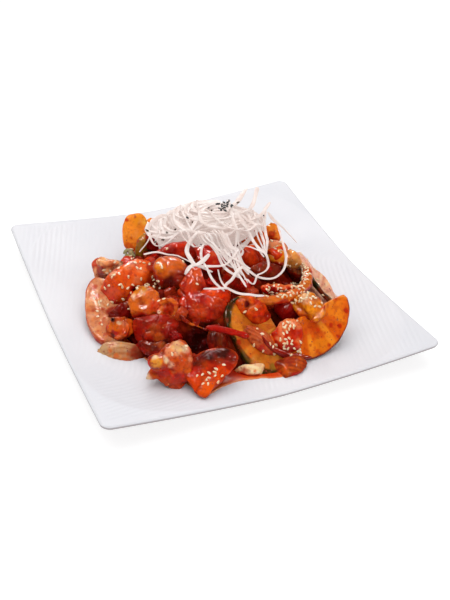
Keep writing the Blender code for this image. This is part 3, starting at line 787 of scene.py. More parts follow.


# deep is the painted shade's colour; the argument after it is how strongly the painted shade darkens inside the heap.
def dressed(flesh, stain=RED, cover=0.45, deep=WINE, heap_shade=0.8, seed=0, patch=8.0, runs=0.5):
    """A tint: flesh that shows on top, reddened in patches and down its sides, with oil patches lightened where they
    face up, partly a painted highlight, and painted shade towards the deep colour inside the heap and on faces that
    turn downwards.
    """

    def tint(points, normals):
        cloud = 0.5 + 0.42 * rough(points, patch, seed) + 0.24 * rough(points, patch / 2.6, seed + 1)
        side = smoothstep(0.95, 0.0, normals[:, 2] + 0.25 * rough(points, 6, seed + 4))
        share = smoothstep(1.0 - cover, 1.4 - cover, cloud + runs * side)[:, None]
        base = flesh(points, normals) if callable(flesh) else np.broadcast_to(flesh, points.shape)
        tinted = mixed(base, stain, share)
        tinted = mixed(tinted, CRIMSON, smoothstep(1.5 - cover, 2.0 - cover, cloud + runs * 1.6 * side)[:, None] * 0.8)
        # Oil patches lightened on faces that turn up: partly oil, partly a painted highlight.
        oil_and_sheen = smoothstep(0.1, 0.7, rough(points, 5, seed + 9)) * smoothstep(0.1, 0.9, normals[:, 2])
        tinted = mixed(tinted, tinted * 0.8 + OIL_AND_SHEEN, 0.5 * oil_and_sheen[:, None])
        # Painted shade: darker towards the deep colour inside the heap and on faces that turn downwards.
        sunk = smoothstep(1.0, 0.68, inside_heap(points) + 0.05 * rough(points, 5, seed + 2))
        underside_shade = smoothstep(0.2, -0.8, normals[:, 2])
        return mixed(tinted, deep, np.clip(sunk * heap_shade + underside_shade * 0.5, 0, 1)[:, None])

    return tint


def slice_tint(form, flesh, rind, rind_share=0.94, streak=None):
    """The tint of a half-moon slice, with a rind round its arc and any streaks from the core outwards."""
    tip_a, tip_b, crown = (np.array(place, float) for place in form[:3])
    middle, half = (tip_a + tip_b) / 2, (tip_b - tip_a) / 2
    rise = crown - middle
    into = np.linalg.inv(np.array([half, rise, np.cross(half, rise)]))

    def tint(points, normals):
        along, up, _ = ((points - middle) @ into).T
        reach = np.hypot(along, np.clip(up, 0, None)) + 0.015 * rough(points, 6, 3)
        base = flesh
        if streak is not None:
            spread = np.column_stack([np.arctan2(along, up + 0.7) * 9, up * 1.2, 0 * up])
            base = mixed(flesh, streak, (0.75 * smoothstep(0.0, 0.6, rough(spread, 1.0, 9)))[:, None])
            darker = (0.6 * smoothstep(0.1, 0.7, rough(spread, 0.7, 12)))[:, None]
            base = mixed(base, base * np.array([0.75, 0.45, 0.4]), darker)
        outer = smoothstep(rind_share - 0.02, rind_share + 0.03, reach) * (up > 0.02)
        return mixed(base, rind, outer[:, None])

    return tint


# ---- serving pieces of food ----

food = {}
SUNK = 1.0  # how far a piece's underside may reach into the plate
DEEPENED = np.array([1.08, 1.16, 1.32])
# The painted shade in the creases of folds, as a share of the tint.
CREASE_SHADE = np.array([0.45, 0.3, 0.3])
LUMPS = ((10.0, 1.3), (4.5, 0.6), (2.2, 0.2))  # each layer's width and height


def serve(name, form, material, tint, lumps=LUMPS, seed=0, folds=()):
    """A piece of food: its form with small lumps and creases, its tint painted on with painted shade in the creases,
    its touches of colour, some of them painted highlights and painted shade, and its material.
    """
    thing = mesh_object(name, *form)
    points, normals = read_mesh(thing)
    for number, (width, high) in enumerate(lumps):
        points = points + normals * (high * rough(points, width, seed + 10 * number))[:, None]
    creases = np.zeros(len(points))
    for number, (width, deep) in enumerate(folds):
        crease = np.exp(-((rough(points, width, seed + 7 * number + 3) / 0.13) ** 2))
        points = points - normals * (deep * crease)[:, None]
        creases = np.maximum(creases, crease * min(1, deep))
    points[:, 2] = np.maximum(points[:, 2], plate_top(points[:, 0], points[:, 1]) - SUNK)
    thing.data.vertices.foreach_set("co", (points * MM).ravel())
    thing.data.update()
    thing.data.shade_smooth()
    points, normals = read_mesh(thing)
    tints = np.clip(tint(points, normals), 0, 1) ** DEEPENED
    # Painted shade: the tint darkens in the creases.
    tints = mixed(tints, tints * CREASE_SHADE, creases[:, None] * 0.8)
    surface = None
    # Touches from DABS: mostly the food's own colours, some painted highlights and painted shade.
    for across, down, radius, dab, strength in DABS.get(name, ()):
        surface = surface or surface_of([thing])
        place, _ = seen(surface, across, down)
        if place is None:
            continue
        away = np.linalg.norm(points - place, axis=1) + 0.25 * radius * rough(points, radius * 0.8, 5)
        tints = mixed(tints, np.asarray(dab) ** DEEPENED, (strength * smoothstep(radius, radius * 0.45, away))[:, None])
    attribute = thing.data.attributes.new("tint", "FLOAT_COLOR", "POINT")
    attribute.data.foreach_set("color", np.column_stack([tints, np.ones(len(tints))]).ravel())
    thing.data.materials.clear()
    thing.data.materials.append(material)
    food[name] = thing


# Touches of colour that the picture shows: place in the picture, radius in mm, tint and strength. Most are the food's
# own colours; some are painted highlights on tops and lips, and painted shade in gaps, cavities and under overhanging
# pieces.
DABS = {
    "apple_back": (
        (140, 217, 9, GOLD, 0.8), (147, 222, 5, colour(245, 184, 96), 0.7), (127, 220, 2.5, RED, 0.9),
        (135, 217, 1.6, RED, 0.8), (131, 238, 1.6, RED, 0.6), (129, 246, 5, SCARLET, 0.6), (134, 250, 4, RED, 0.6),
    ),
    "squid_knob": (
        (96, 263, 6, SCARLET, 0.9), (100, 270, 5, CRIMSON, 0.9), (101, 276, 4, WINE, 0.9),
        (112, 262, 8, BLUSH, 0.8), (118, 266, 6, CREAM, 0.6), (109, 263, 4, BLUSH, 0.7),
    ),
    # The pale pink touches at its upper right are painted highlights; the crimson touch at its lower edge is painted
    # shade.
    "apple_upper": (
        (115, 287, 10, colour(226, 92, 20), 0.8), (126, 275, 8, colour(224, 88, 40), 0.6),
        (108, 302, 7, RED, 0.6), (118, 308, 9, CRIMSON, 0.7), (150, 282, 6, CRIMSON, 0.8),
        (152, 268, 6, CRIMSON, 0.8), (140, 270, 5, BLUSH, 0.4), (134, 264, 4, BLUSH, 0.5),
        (112, 274, 4, CREAM, 0.5), (104, 292, 5, SCARLET, 0.6), (128, 267, 4, PEACH, 0.5), (137, 280, 4, BLUSH, 0.35),
    ),
    # The crimson and wine touches at its upper right are painted shade under apple_upper.
    "apple_left": (
        (95, 287, 3, RED, 0.7), (97, 296, 3, RED, 0.6), (113, 312, 7, CRIMSON, 0.9), (121, 314, 7, WINE, 0.9),
        (100, 323, 1.6, RED, 0.6), (104, 318, 1.6, RED, 0.6), (98, 331, 1.6, RED, 0.6), (105, 334, 2, RED, 0.6),
        (103, 309, 1.8, RED, 0.6), (93, 311, 1.5, RED, 0.5), (97, 340, 1.6, SCARLET, 0.6), (91, 298, 2, SCARLET, 0.5),
    ),
    # Its blackish touch is painted shade in its cavity, and the small cream touch beside it a painted highlight on its
    # lip.
    "squid_curled": (
        (122, 326, 6, TAN, 0.7), (113, 320, 3.2, BLACKISH, 1), (119, 323, 2, CREAM, 0.8), (126, 323, 4, BLUSH, 0.6),
        (113, 336, 3, WINE, 0.8), (121, 338, 5, TAN, 0.5), (107, 327, 3, SCARLET, 0.7),
    ),
    # The small cream touch at its right is a painted highlight.
    "squid_left": (
        (140, 290, 8, OCHRE, 0.8), (151, 296, 7, TAN, 0.8), (155, 306, 6, SCARLET, 0.8), (147, 320, 5, BLUSH, 0.5),
        (135, 306, 6, TAN, 0.6), (159, 312, 2, CREAM, 0.8), (168, 309, 6, RED, 0.8), (176, 308, 3, TAN, 0.9),
        (165, 300, 4, TAN, 0.8), (133, 296, 3, CREAM, 0.5),
    ),
    "pepper_orange": (
        (168, 262, 9, TAN, 0.9), (160, 268, 6, GOLD, 0.6), (180, 263, 6, TAN, 0.6), (170, 284, 9, WINE, 0.9),
        (158, 281, 6, CRIMSON, 0.8), (182, 277, 8, CRIMSON, 0.8), (188, 268, 5, RED, 0.8),
    ),
    "pepper_red": (
        (175, 243, 7, SCARLET, 0.8), (170, 253, 8, CRIMSON, 0.8), (165, 247, 5, RED, 0.7), (190, 250, 6, CRIMSON, 0.8),
    ),
    "squid_opened": (
        (190, 291, 7, SCARLET, 0.6), (184, 301, 6, SCARLET, 0.7), (200, 312, 7, colour(206, 84, 30), 0.6),
        (200, 327, 3, TAN, 0.8), (192, 325, 3, TAN, 0.8), (208, 327, 3, TAN, 0.8), (180, 318, 4, WINE, 0.7),
        (200, 298, 6, CRIMSON, 0.7), (224, 314, 6, CRIMSON, 0.7), (216, 302, 5, colour(206, 84, 30), 0.6),
        (184, 312, 5, CRIMSON, 0.5),
        (196, 272, 6, colour(214, 92, 40), 0.8), (192, 284, 7, colour(206, 76, 32), 0.7), (204, 290, 4, CRIMSON, 0.7),
        (184, 284, 4, CRIMSON, 0.7),
    ),
    # The cream and pale touches along its top and right edge are partly cream flesh and partly a painted highlight.
    "squid_front": (
        (158, 362, 6, colour(226, 160, 78), 0.9), (166, 359, 4, CREAM, 0.9), (155, 357, 3, CREAM, 0.8),
        (177, 347, 7, colour(242, 196, 156), 0.9), (186, 349, 4, CREAM, 0.8), (171, 353, 5, BLUSH, 0.7),
        (183, 358, 6, colour(200, 100, 50), 0.7), (162, 372, 6, RED, 0.6), (185, 366, 6, colour(206, 104, 50), 0.6),
        (191, 360, 2.5, BLUSH, 0.8), (190, 371, 2.5, TAN, 0.8), (148, 377, 4, CREAM, 0.95), (165, 372, 7, RED, 0.7),
        (178, 366, 7, colour(206, 88, 34), 0.7), (176, 383, 6, colour(176, 60, 30), 0.7), (171, 365, 3, CREAM, 0.4),
    ),
    # The blackish touches along its top edge, beside the dark gap, are painted shade.
    "carrot_front": (
        (216, 375, 7, colour(226, 86, 26), 0.7), (207, 388, 8, colour(234, 104, 30), 0.7), (200, 360, 9, WINE, 0.8),
        (215, 357, 9, WINE, 0.8), (230, 356, 9, WINE, 0.8), (195, 372, 6, RED, 0.8), (207, 354, 8, BLACKISH, 0.8),
        (222, 352, 8, BLACKISH, 0.8), (212, 367, 6, CRIMSON, 0.6), (229, 366, 5, CRIMSON, 0.8),
    ),
    # Blackish touches in the heap's deepest gaps: painted shade.
    "salad_bed": (
        (200, 340, 16, BLACKISH, 0.95), (208, 330, 10, BLACKISH, 0.9), (270, 325, 11, BLACKISH, 0.85),
    ),
    "onion_right": ((290, 360, 6, CRIMSON, 0.6), (280, 362, 5, WINE, 0.7), (286, 372, 4, TAN, 0.5)),
    "cucumber_front": (
        (238, 311, 7, colour(206, 130, 44), 0.8), (236, 326, 6, GOLD, 0.5), (239, 342, 2.6, RED, 0.8),
        (252, 352, 7, TAN, 0.6), (256, 360, 7, OCHRE, 0.6), (267, 362, 6, colour(196, 108, 44), 0.6),
        (273, 367, 4, OLIVE, 0.7),
    ),
    "carrot_upper": (
        (250, 305, 5, TAN, 0.6), (262, 312, 7, RED, 0.7), (268, 317, 5, CRIMSON, 0.8), (243, 299, 5, TAN, 0.7),
        (256, 301, 5, SCARLET, 0.6), (247, 304, 3.2, BLACKISH, 1),
    ),
    "onion_left": (
        (110, 350, 3, TAN, 0.7), (116, 356, 2.6, TAN, 0.7), (128, 354, 2, TAN, 0.6), (134, 350, 2, TAN, 0.6),
        (125, 361, 5, TAN, 0.6), (139, 352, 11, colour(146, 52, 36), 0.9), (148, 356, 8, WINE, 0.8),
        (104, 350, 6, colour(214, 184, 152), 0.6), (112, 345, 5, colour(206, 168, 134), 0.6),
    ),
    "squid_seeded": (
        (305, 298, 6, CREAM, 0.6), (298, 303, 3, RED, 0.5), (324, 306, 2.6, RED, 0.9), (310, 310, 5, GOLD, 0.6),
        (319, 315, 3, BLUSH, 0.7), (300, 313, 4, TAN, 0.6), (312, 322, 4, RED, 0.6),
    ),
    "apple_right": (
        (346, 310, 3, RED, 0.9), (335, 300, 2.5, SCARLET, 0.6), (318, 330, 2.5, SCARLET, 0.6),
        (340, 326, 2.6, RED, 0.9), (331, 325, 2.6, RED, 0.9), (338, 336, 2, RED, 0.9), (329, 345, 2, RED, 0.8),
        (310, 345, 1.6, RED, 0.6), (320, 345, 8, GOLD, 0.5), (340, 315, 6, GOLD, 0.4), (309, 331, 5, SCARLET, 0.5),
        (325, 333, 1.4, RED, 0.6), (334, 317, 1.4, RED, 0.6), (344, 318, 1.4, SCARLET, 0.6),
        (318, 350, 1.4, SCARLET, 0.6),
    ),
    "onion_sliver": ((255, 371, 1.8, ORANGE, 0.8), (236, 371, 4, TAN, 0.6)),
    "onion_dark_upper": (
        (154, 330, 6, colour(176, 88, 46), 0.7), (158, 338, 5, TAN, 0.5), (172, 328, 6, CRIMSON, 0.8),
        (139, 332, 5, CRIMSON, 0.8), (146, 323, 4, colour(130, 40, 30), 0.7), (178, 334, 5, WINE, 0.8),
    ),
    "onion_dark_lower": ((150, 350, 5, colour(120, 40, 30), 0.7), (162, 345, 4, TAN, 0.5), (142, 344, 5, WINE, 0.6)),
    "apple_block": ((272, 234, 4, RED, 0.8), (270, 226, 5, GOLD, 0.8), (277, 228, 3, GOLD, 0.7)),
    "radish_block": ((275, 246, 6, BLUSH, 0.7),),
    "cucumber_block": (
        (293, 263, 5, colour(150, 126, 60), 0.6), (285, 256, 5, BLUSH, 0.6), (298, 266, 3, OLIVE, 0.8),
    ),
}

# ---- the pieces' places ----

# Both tips of the cut edge, the top of the rind's arc, the thickness, how far the flesh goes on
# behind the tips, the bend, and how pointed the arc is.
HALF_MOONS = {
    "apple_right": ((9, -92, 26), (83, -77, 38), (49, -104, 11), 7, 5, 2, 1),
    "apple_left": ((-102, -37, 9), (-88, 22, 27), (-107, -1, 18), 7, 16, 3, 1),
    "apple_pink": ((78, 0, 31), (91, -47, 12), (93, -18, 15), 5, 12, 2, 1),
    "cucumber_front": ((-2, -56, 46), (12, -110, 9), (-17, -86, 24), 8, 13, 2, 0.76),
    "cucumber_right": ((72, -31, 36), (85, -56, 18), (84, -38, 31), 6, 10, 0, 1),
}

LYING = (-0.1, -0.3, 0.95)
SQUID_FRONT, CARROT_FRONT, ONION_RIGHT = at_height(172, 391, 10), at_height(212, 372, 22.5), at_height(290, 366, 15)
# A point of the plane that a piece lies in, how far it bulges in front and behind, its outline by
# places in the picture, and the way it faces where that isn't towards the camera.
MOUNDS = {
    "squid_knob": (
        (-77, 33, 28), 7, 10,
        ((92, 263), (95, 258), (101, 256), (108, 259), (117, 259), (124, 261), (124, 268), (118, 272), (111, 275),
         (105, 279), (100, 283), (95, 281), (94, 273)),
    ),
    "apple_upper": (
        (-74, 3, 41), 6, 10,
        ((101, 286), (107, 277), (115, 270), (124, 264), (133, 259), (142, 259), (150, 262), (155, 268), (156, 277),
         (152, 285), (143, 286), (134, 288), (130, 296), (129, 305), (121, 309), (110, 308), (102, 303), (99, 295)),
    ),
    "apple_back": (
        (-38, 63, 34), 3, 5,
        ((123, 240), (122, 228), (126, 217), (133, 213), (141, 213), (147, 218), (150, 226), (147, 236), (141, 245),
         (136, 251), (130, 251), (125, 247)),
    ),
    "squid_left": (
        (-69, -33, 36), 9, 12,
        ((131, 293), (138, 287), (147, 286), (155, 289), (160, 295), (161, 304), (158, 313), (152, 319), (143, 324),
         (135, 320), (130, 312), (128, 302)),
    ),
    "squid_curled": (
        (-90, -37, 22), 7, 12,
        ((105, 326), (110, 319), (118, 316), (128, 317), (133, 322), (133, 331), (128, 338), (119, 342), (110, 340),
         (105, 334)),
    ),
    "squid_opened": (
        (-30, -57, 38), 8, 14,
        ((180, 300), (188, 294), (198, 292), (210, 296), (222, 299), (228, 306), (227, 316), (223, 324), (213, 329),
         (199, 328), (187, 322), (178, 314), (176, 306)),
    ),
    "squid_front": (
        SQUID_FRONT, 9, 13,
        ((172, 341), (179, 339), (186, 342), (190, 352), (194, 360), (193, 371), (190, 380), (184, 387), (176, 391),
         (168, 387), (160, 381), (153, 373), (150, 363), (157, 354), (166, 345)),
    ),
    "squid_seeded": (
        (47, -83, 39), 8, 14,
        ((293, 304), (297, 297), (305, 292), (315, 293), (323, 299), (327, 306), (326, 314), (320, 322), (311, 326),
         (303, 321), (296, 313)),
    ),
    "carrot_upper": (
        (8, -72, 42), 5, 8,
        ((236, 301), (243, 296), (254, 296), (263, 301), (269, 308), (274, 313), (270, 320), (262, 325), (252, 323),
         (244, 317), (238, 310)),
    ),
    "pepper_orange": (
        (-41, -14, 47), 9, 13,
        ((155, 262), (160, 257), (168, 256), (178, 258), (186, 264), (190, 272), (188, 282), (180, 290), (170, 292),
         (161, 288), (156, 281), (153, 271)),
    ),
    "pepper_red": (
        (-32, 9, 51), 5, 9,
        ((156, 254), (161, 248), (171, 243), (184, 241), (194, 243), (199, 250), (196, 258), (186, 262), (176, 259),
         (164, 256)),
    ),
    "pepper_middle": (
        (-11, -22, 50), 5, 10,
        ((196, 249), (205, 244), (214, 247), (223, 256), (228, 267), (225, 278), (213, 279), (203, 272), (197, 261)),
    ),
    "carrot_front": (
        CARROT_FRONT, 4, 7,
        ((184, 374), (188, 364), (196, 355), (208, 350), (222, 348), (236, 352), (239, 360), (232, 370), (224, 380),
         (214, 390), (206, 397), (197, 393), (190, 385)),
        LYING,
    ),
    "carrot_high": (
        (38, 6, 49), 4, 8, ((238, 233), (250, 228), (263, 230), (268, 240), (266, 250), (254, 253), (242, 249)),
    ),
    "apple_small": (
        (-26, 70, 35), 3, 5, ((146, 222), (151, 218), (157, 220), (159, 226), (155, 231), (148, 230)),
    ),
    # A dark crimson lump that stands in for the shade under apple_upper: painted shade.
    "shade_lump_left": (
        (-83, -21, 27), 3, 6, ((105, 317), (112, 309), (122, 302), (131, 301), (136, 309), (132, 317), (120, 320)),
    ),
    "carrot_middle": (
        (27, -18, 48), 6, 10,
        ((236, 262), (240, 252), (248, 246), (258, 247), (264, 254), (264, 262), (256, 268), (244, 269)),
    ),
    "carrot_low": (
        (8, -46, 42), 4, 9,
        ((220, 268), (231, 263), (243, 267), (252, 276), (262, 281), (262, 290), (250, 296), (236, 295), (225, 284)),
    ),
    "carrot_brown": (
        (32, -36, 45), 4, 8,
        ((247, 271), (256, 264), (268, 262), (280, 264), (283, 271), (272, 278), (258, 280), (249, 277)),
    ),
    "onion_left": (
        (-92, -54, 13), 3, 4,
        ((95, 352), (102, 344), (111, 341), (125, 342), (138, 345), (147, 351), (152, 358), (146, 361), (134, 362),
         (120, 362), (108, 358), (100, 355)),
    ),
    "onion_dark_upper": (
        (-68, -51, 25), 3.5, 8,
        ((131, 328), (134, 318), (150, 315), (170, 315), (185, 320), (192, 331), (181, 340), (166, 346), (150, 347),
         (137, 342)),
    ),
    "onion_dark_lower": (
        (-68, -64, 20), 4, 6,
        ((134, 346), (142, 340), (156, 341), (168, 337), (173, 343), (165, 352), (158, 359), (150, 357), (141, 351)),
    ),
    "onion_right": (
        ONION_RIGHT, 3, 5,
        ((270, 368), (278, 360), (292, 356), (304, 357), (309, 362), (303, 370), (294, 375), (284, 378), (274, 377)),
        LYING,
    ),
    "onion_sliver": (
        (-12, -103, 14), 2.5, 2,
        ((232, 371), (241, 366), (253, 364), (264, 363), (268, 370), (266, 374), (250, 375), (240, 374)),
    ),
    "apple_block": (
        (64, 20, 41), 5, 8,
        ((265, 227), (270, 223), (276, 224), (280, 231), (280, 240), (276, 243), (267, 242), (264, 235)),
    ),
    "radish_block": (
        (62, 6, 39), 4, 7,
        ((263, 243), (272, 240), (282, 242), (288, 247), (287, 254), (278, 258), (268, 257), (262, 250)),
    ),
    "cucumber_block": (
        (63, -17, 38), 6, 9,
        ((277, 257), (284, 251), (292, 250), (299, 255), (303, 262), (299, 268), (290, 269), (281, 265)),
    ),
}

# The centre, the three sizes and the turn about Z in degrees.
CHUNKS = {
    "pepper_dark": ((36, -66, 31), (24, 20, 24), 10),
    "carrot_long": ((-18, -50, 45), (30, 15, 14), -10),
}
BLOCKS = {
    "carrot_block": ((57, -7, 38), (16, 14, 14), 10),
    "cucumber_back": ((-41, 50, 33), (13, 9, 20), 35),
}

# The tip, the root, the width and the curl.
PETALS = {
    "onion_fan": ((-28, -72, 37), (-30, -90, 22), 15, 5),
    "onion_clear": ((-6, -84, 38), (12, -101, 22), 15, 4),
}
RING_PATH = ((9, -66, 45), (24, -69, 45), (42, -65, 43), (59, -53, 41), (69, -35, 41))
CHILLI_PATH = ((-36, -74, 38), (-22, -84, 38), (-8, -92, 35))


LUMP_CUTS = 4


def lump(centre, size, turn, seed, lobes=4, square=0.9):
    """A soft uneven chunk of several swellings, cut flat on some sides."""
    draw = random.Random(seed)
    centre, size = np.array(centre, float), np.array(size, float)
    forms = [ball(centre, size * 0.96, turn, square=square)]
    for _ in range(lobes):
        away = unit([draw.gauss(0, 1) for _ in range(3)])
        place = centre + turning(turn, 0, 0) @ (away * size * 0.26)
        part = size * np.array([draw.uniform(0.45, 0.66) for _ in range(3)])
        forms.append(ball(place, part, turn + draw.uniform(-45, 45), draw.uniform(-25, 25)))
    for _ in range(LUMP_CUTS):
        away = unit([draw.gauss(0, 1), draw.gauss(0, 1), draw.gauss(0, 0.8)])
        limit = np.linalg.norm(away @ turning(turn, 0, 0) * size / 2) * draw.uniform(0.6, 0.82)
        for form in forms:
            over = np.clip((form[0] - centre) @ away - limit, 0, None)
            form[0][:] -= np.outer(over * 0.92, away)
    return fuse(forms, 1.0, 3)


def rim(middle, radius, thick, facing, start, end):
    """The rolled rim of a squid piece: most of a ring that faces outwards."""
    facing = unit(facing)
    side = unit(np.cross((0, 0, 1), facing))
    up = unit(np.cross(facing, side))
    path = []
    for step in range(14):
        angle = math.radians(start + (end - start) * step / 13)
        path.append(np.array(middle) + radius * (math.cos(angle) * side + math.sin(angle) * up))
    return roll(path, 2 * thick * 0.8, 2 * thick, facing, 1.2, 12, 0.5)


def petal(tip, root, width, curve, thickness):
    """An onion petal: a thin shell, pointed at the tip and blunt at the root."""
    tip, root = np.array(tip, float), np.array(root, float)
    direction = unit(root - tip)
    outward = (tip + root) / 2 - np.array([HEAP_X, HEAP_Y, 0])
    outward[2] = 0
    face = unit(outward) + np.array([0, 0, 1])
    side = unit(np.cross(face, direction))
    face = unit(np.cross(direction, side))
    grid = []
    for along in np.linspace(0, 1, 30):
        half = width / 2 * (0.1 + 0.9 * math.sin(math.pi * min(0.05 + along * 0.86, 1)) ** 0.75)
        bow = -curve * (2 * along - 1) ** 2
        row = []
        for share in np.linspace(-1, 1, 22):
            fall = bow - curve * share**2 + 0.25 * math.sin(share * 14 + 3 * along)
            row.append(tip + (root - tip) * along + side * half * share + face * fall)
        grid.append(row)
    return sheet(grid, thickness)


RIBS = 7  # veins across a petal


def veined(petal_values, flesh, vein):
    """An onion petal's tint, with veins that run from root to tip."""
    tip, root = (np.array(place, float) for place in petal_values[:2])
    direction = unit(root - tip)
    side = unit(np.cross((0.2, -0.3, 1), direction))

    def tint(points, normals):
        along = (points - tip) @ direction / np.linalg.norm(root - tip)
        across = (points - tip) @ side / petal_values[2]
        wave = 0.5 + 0.5 * np.sin(across * RIBS * 2 * math.pi + 1.5 * rough(points, 9, 4))
        tinted = mixed(flesh, vein, (0.75 * wave**2)[:, None])
        return mixed(tinted, vein, smoothstep(0.6, 1.05, along)[:, None] * 0.6)

    return tint


def serve_slices(apple, crisp):
    looks = {
        "apple_right": (apple, colour(224, 108, 26), RIND_RED, 0.95, 0.16, colour(250, 166, 64)),
        "apple_left": (apple, colour(212, 142, 110), colour(206, 110, 78), 0.93, 0.36, colour(228, 178, 150)),
        "apple_pink": (crisp, colour(242, 176, 156), colour(200, 90, 70), 0.93, 0.2, CREAM),
        "cucumber_front": (crisp, colour(200, 116, 46), GREEN, 0.88, 0.3, colour(224, 164, 80)),
        "cucumber_right": (crisp, colour(236, 186, 170), PEACH, 0.93, 0.15, CREAM),
    }
    for number, (name, (material, flesh, rind, rind_share, cover, streak)) in enumerate(looks.items()):
        values = HALF_MOONS[name]
        form = fuse([half_moon(*values, dish=0.5)], 0.8, 2)
        inside = slice_tint(values, flesh, rind, rind_share, streak)
        tint = dressed(inside, cover=cover, heap_shade=0.35, seed=30 + number, runs=0.1)
        serve(name, form, material, tint, ((9.0, 0.5), (3.0, 0.15)), number)
    strip = roll(at_heights(((307, 272), (314, 283), (323, 294), (333, 303)), (39, 35, 29, 20)), 6.5, 4, RIGHT)
    tint = dressed(colour(26, 42, 16), OLIVE, 0.1, heap_shade=0, seed=44, runs=0.1)
    serve("cucumber_strip", fuse([strip], 0.8, 1), crisp, tint, ((5, 0.3),))


def band(name, spots, wide, thick, out):
    """A roll of flesh that lies on a mound along places in the picture."""
    path = [on_plane(MOUNDS[name][0], across, down, out) for across, down in spots]
    return roll(path, wide, thick, BACK, 1.2, 12, 0.4)


def serve_squid(squid, root):
    curl = rim(on_plane(MOUNDS["squid_left"][0], 168, 309, 4), 7.2, 3.0, BACK, -170, 150)
    lip = rim(on_plane(MOUNDS["squid_curled"][0], 118, 328, 5), 7.6, 3.0, BACK, -110, 140)
    knob = on_plane(MOUNDS["squid_front"][0], 159, 362, 7)
    cone = (
        (186, 272), (192, 266), (198, 266), (203, 275), (207, 288), (210, 298), (200, 304), (188, 302),
        (180, 296), (179, 287),
    )
    extras = {
        "squid_knob": [band("squid_knob", ((98, 261), (104, 265), (113, 263), (121, 264)), 6, 5, 5)],
        "squid_left": [curl, ball(on_plane(MOUNDS["squid_left"][0], 167, 309, -1), (15, 12, 13))],
        "squid_curled": [lip],
        "squid_front": [
            ball(knob, (20, 14, 14), 0, 0, 20),
            band("squid_front", ((172, 345), (179, 343), (185, 347), (189, 357), (189, 369), (186, 380)), 5, 4, 3),
            band("squid_front", ((160, 368), (152, 374), (145, 379)), (10, 9, 4), (9, 8, 4), 0),
        ],
        "squid_opened": [
            mound((-32, -42, 44), 7, 10, cone),
            band("squid_opened", ((179, 312), (187, 321), (199, 327), (212, 328), (221, 323)), 3.6, 4, 5),
        ],
        "squid_seeded": [band("squid_seeded", ((324, 303), (323, 311), (317, 318), (308, 322)), 3.6, 3.6, 6)],
    }
    looks = {
        "squid_knob": (colour(248, 184, 144), 0.22), "squid_left": (colour(222, 120, 48), 0.38),
        "squid_curled": (colour(218, 108, 30), 0.4), "squid_front": (colour(194, 84, 36), 0.34),
        "squid_opened": (colour(188, 56, 26), 0.4), "squid_seeded": (AMBER, 0.34),
        "apple_upper": (colour(232, 102, 36), 0.3), "carrot_upper": (colour(214, 84, 30), 0.36),
    }
    for number, (name, (flesh, cover)) in enumerate(looks.items()):
        tint = dressed(flesh, cover=cover, heap_shade=0.6, seed=50 + number, runs=0.35)
        form = fuse([mound(*MOUNDS[name])] + extras.get(name, []), 0.9, 2)
        if name == "apple_upper":
            serve(name, form, squid, tint, ((16, 1.5), (6, 0.4), (2.4, 0.12)), 60 + number)
        else:
            skin = root if name == "carrot_upper" else squid
            serve(name, form, skin, tint, seed=60 + number, folds=((13.0, 1.0), (6.0, 0.5)))
    ring = fuse([roll(RING_PATH, 8.6, 8.8, (0, 0, 1), 1.5, 16, 0.6)], 0.9, 2)
    tint = dressed(colour(212, 118, 50), cover=0.45, heap_shade=0.5, seed=71)
    serve("squid_ring", ring, squid, tint, ((5, 0.9), (2.4, 0.4)), 71)
    tint = dressed(colour(230, 116, 62), cover=0.45, seed=72)
    serve("tentacles", tentacle_form(), squid, tint, ((4, 0.3), (1.8, 0.2)), 72)


def tentacle_form():
    """A tangle of tapered arms with small round suckers along one side."""
    forms = [ball((31, -54, 40), (22, 14, 14), -15)]
    draw = random.Random(8)
    for arm in range(6):
        start = np.array([22 + 3.4 * arm, -50 - draw.uniform(0, 7), 43 + draw.uniform(-2, 3)])
        lean = np.array([draw.uniform(-4, 6), draw.uniform(-7, -3), draw.uniform(1, 4)])
        path = (start, start + lean, start + lean * 1.6 + (3, 1, -2), start + lean * 1.8 + (7, 3, -5))
        forms.append(roll(path, (5.5, 4.5, 2.4), (5.5, 4.5, 2.4), (0, 0, 1), 1.2, 10))
        for along in smooth_path(path, 2.6):
            forms.append(ball(along + (0, -1.2, 2.0), (2.2, 2.2, 1.8), bands=6, sides=8))
    return fuse(forms, 0.7, 1)


def seeded_layer(apple):
    """A thin pale layer on the left part of the apple slice at the right, and the dark rind below it."""
    tip_a, tip_b, crown = (np.array(place, float) for place in HALF_MOONS["apple_right"][:3])
    facing = unit(np.cross(crown - (tip_a + tip_b) / 2, tip_b - tip_a))
    facing = facing * np.sign(facing[2])
    middle = (tip_a + tip_b) / 2 + facing * 4.5
    outline = (
        (267, 338), (274, 331), (281, 322), (290, 318), (298, 320), (303, 328), (304, 340), (300, 350),
        (290, 354), (280, 351), (272, 346),
    )
    tint = dressed(colour(226, 128, 92), SCARLET, 0.5, heap_shade=0, seed=81)
    serve("seeded_layer", fuse([mound(middle, 2.5, 4, outline, facing)], 0.8, 2), apple, tint, ((7, 0.8), (3, 0.4)), 81)
    spots = ((262, 335), (267, 343), (276, 350), (288, 355), (301, 357), (313, 357))
    path = [on_plane(middle, across, down, -1.0, facing) for across, down in spots]
    rind = fuse([roll(path, (2.5, 3.5, 5, 6, 5, 2), 4, facing)], 0.7, 2)
    serve("apple_rind", rind, apple, dressed(colour(142, 34, 32), WINE, 0.4, heap_shade=0, seed=82), ((6, 0.4),), 82)


EVEN = ("carrot_front", "pepper_orange", "pepper_red", "apple_back", "apple_small")  # pieces with no flat cuts


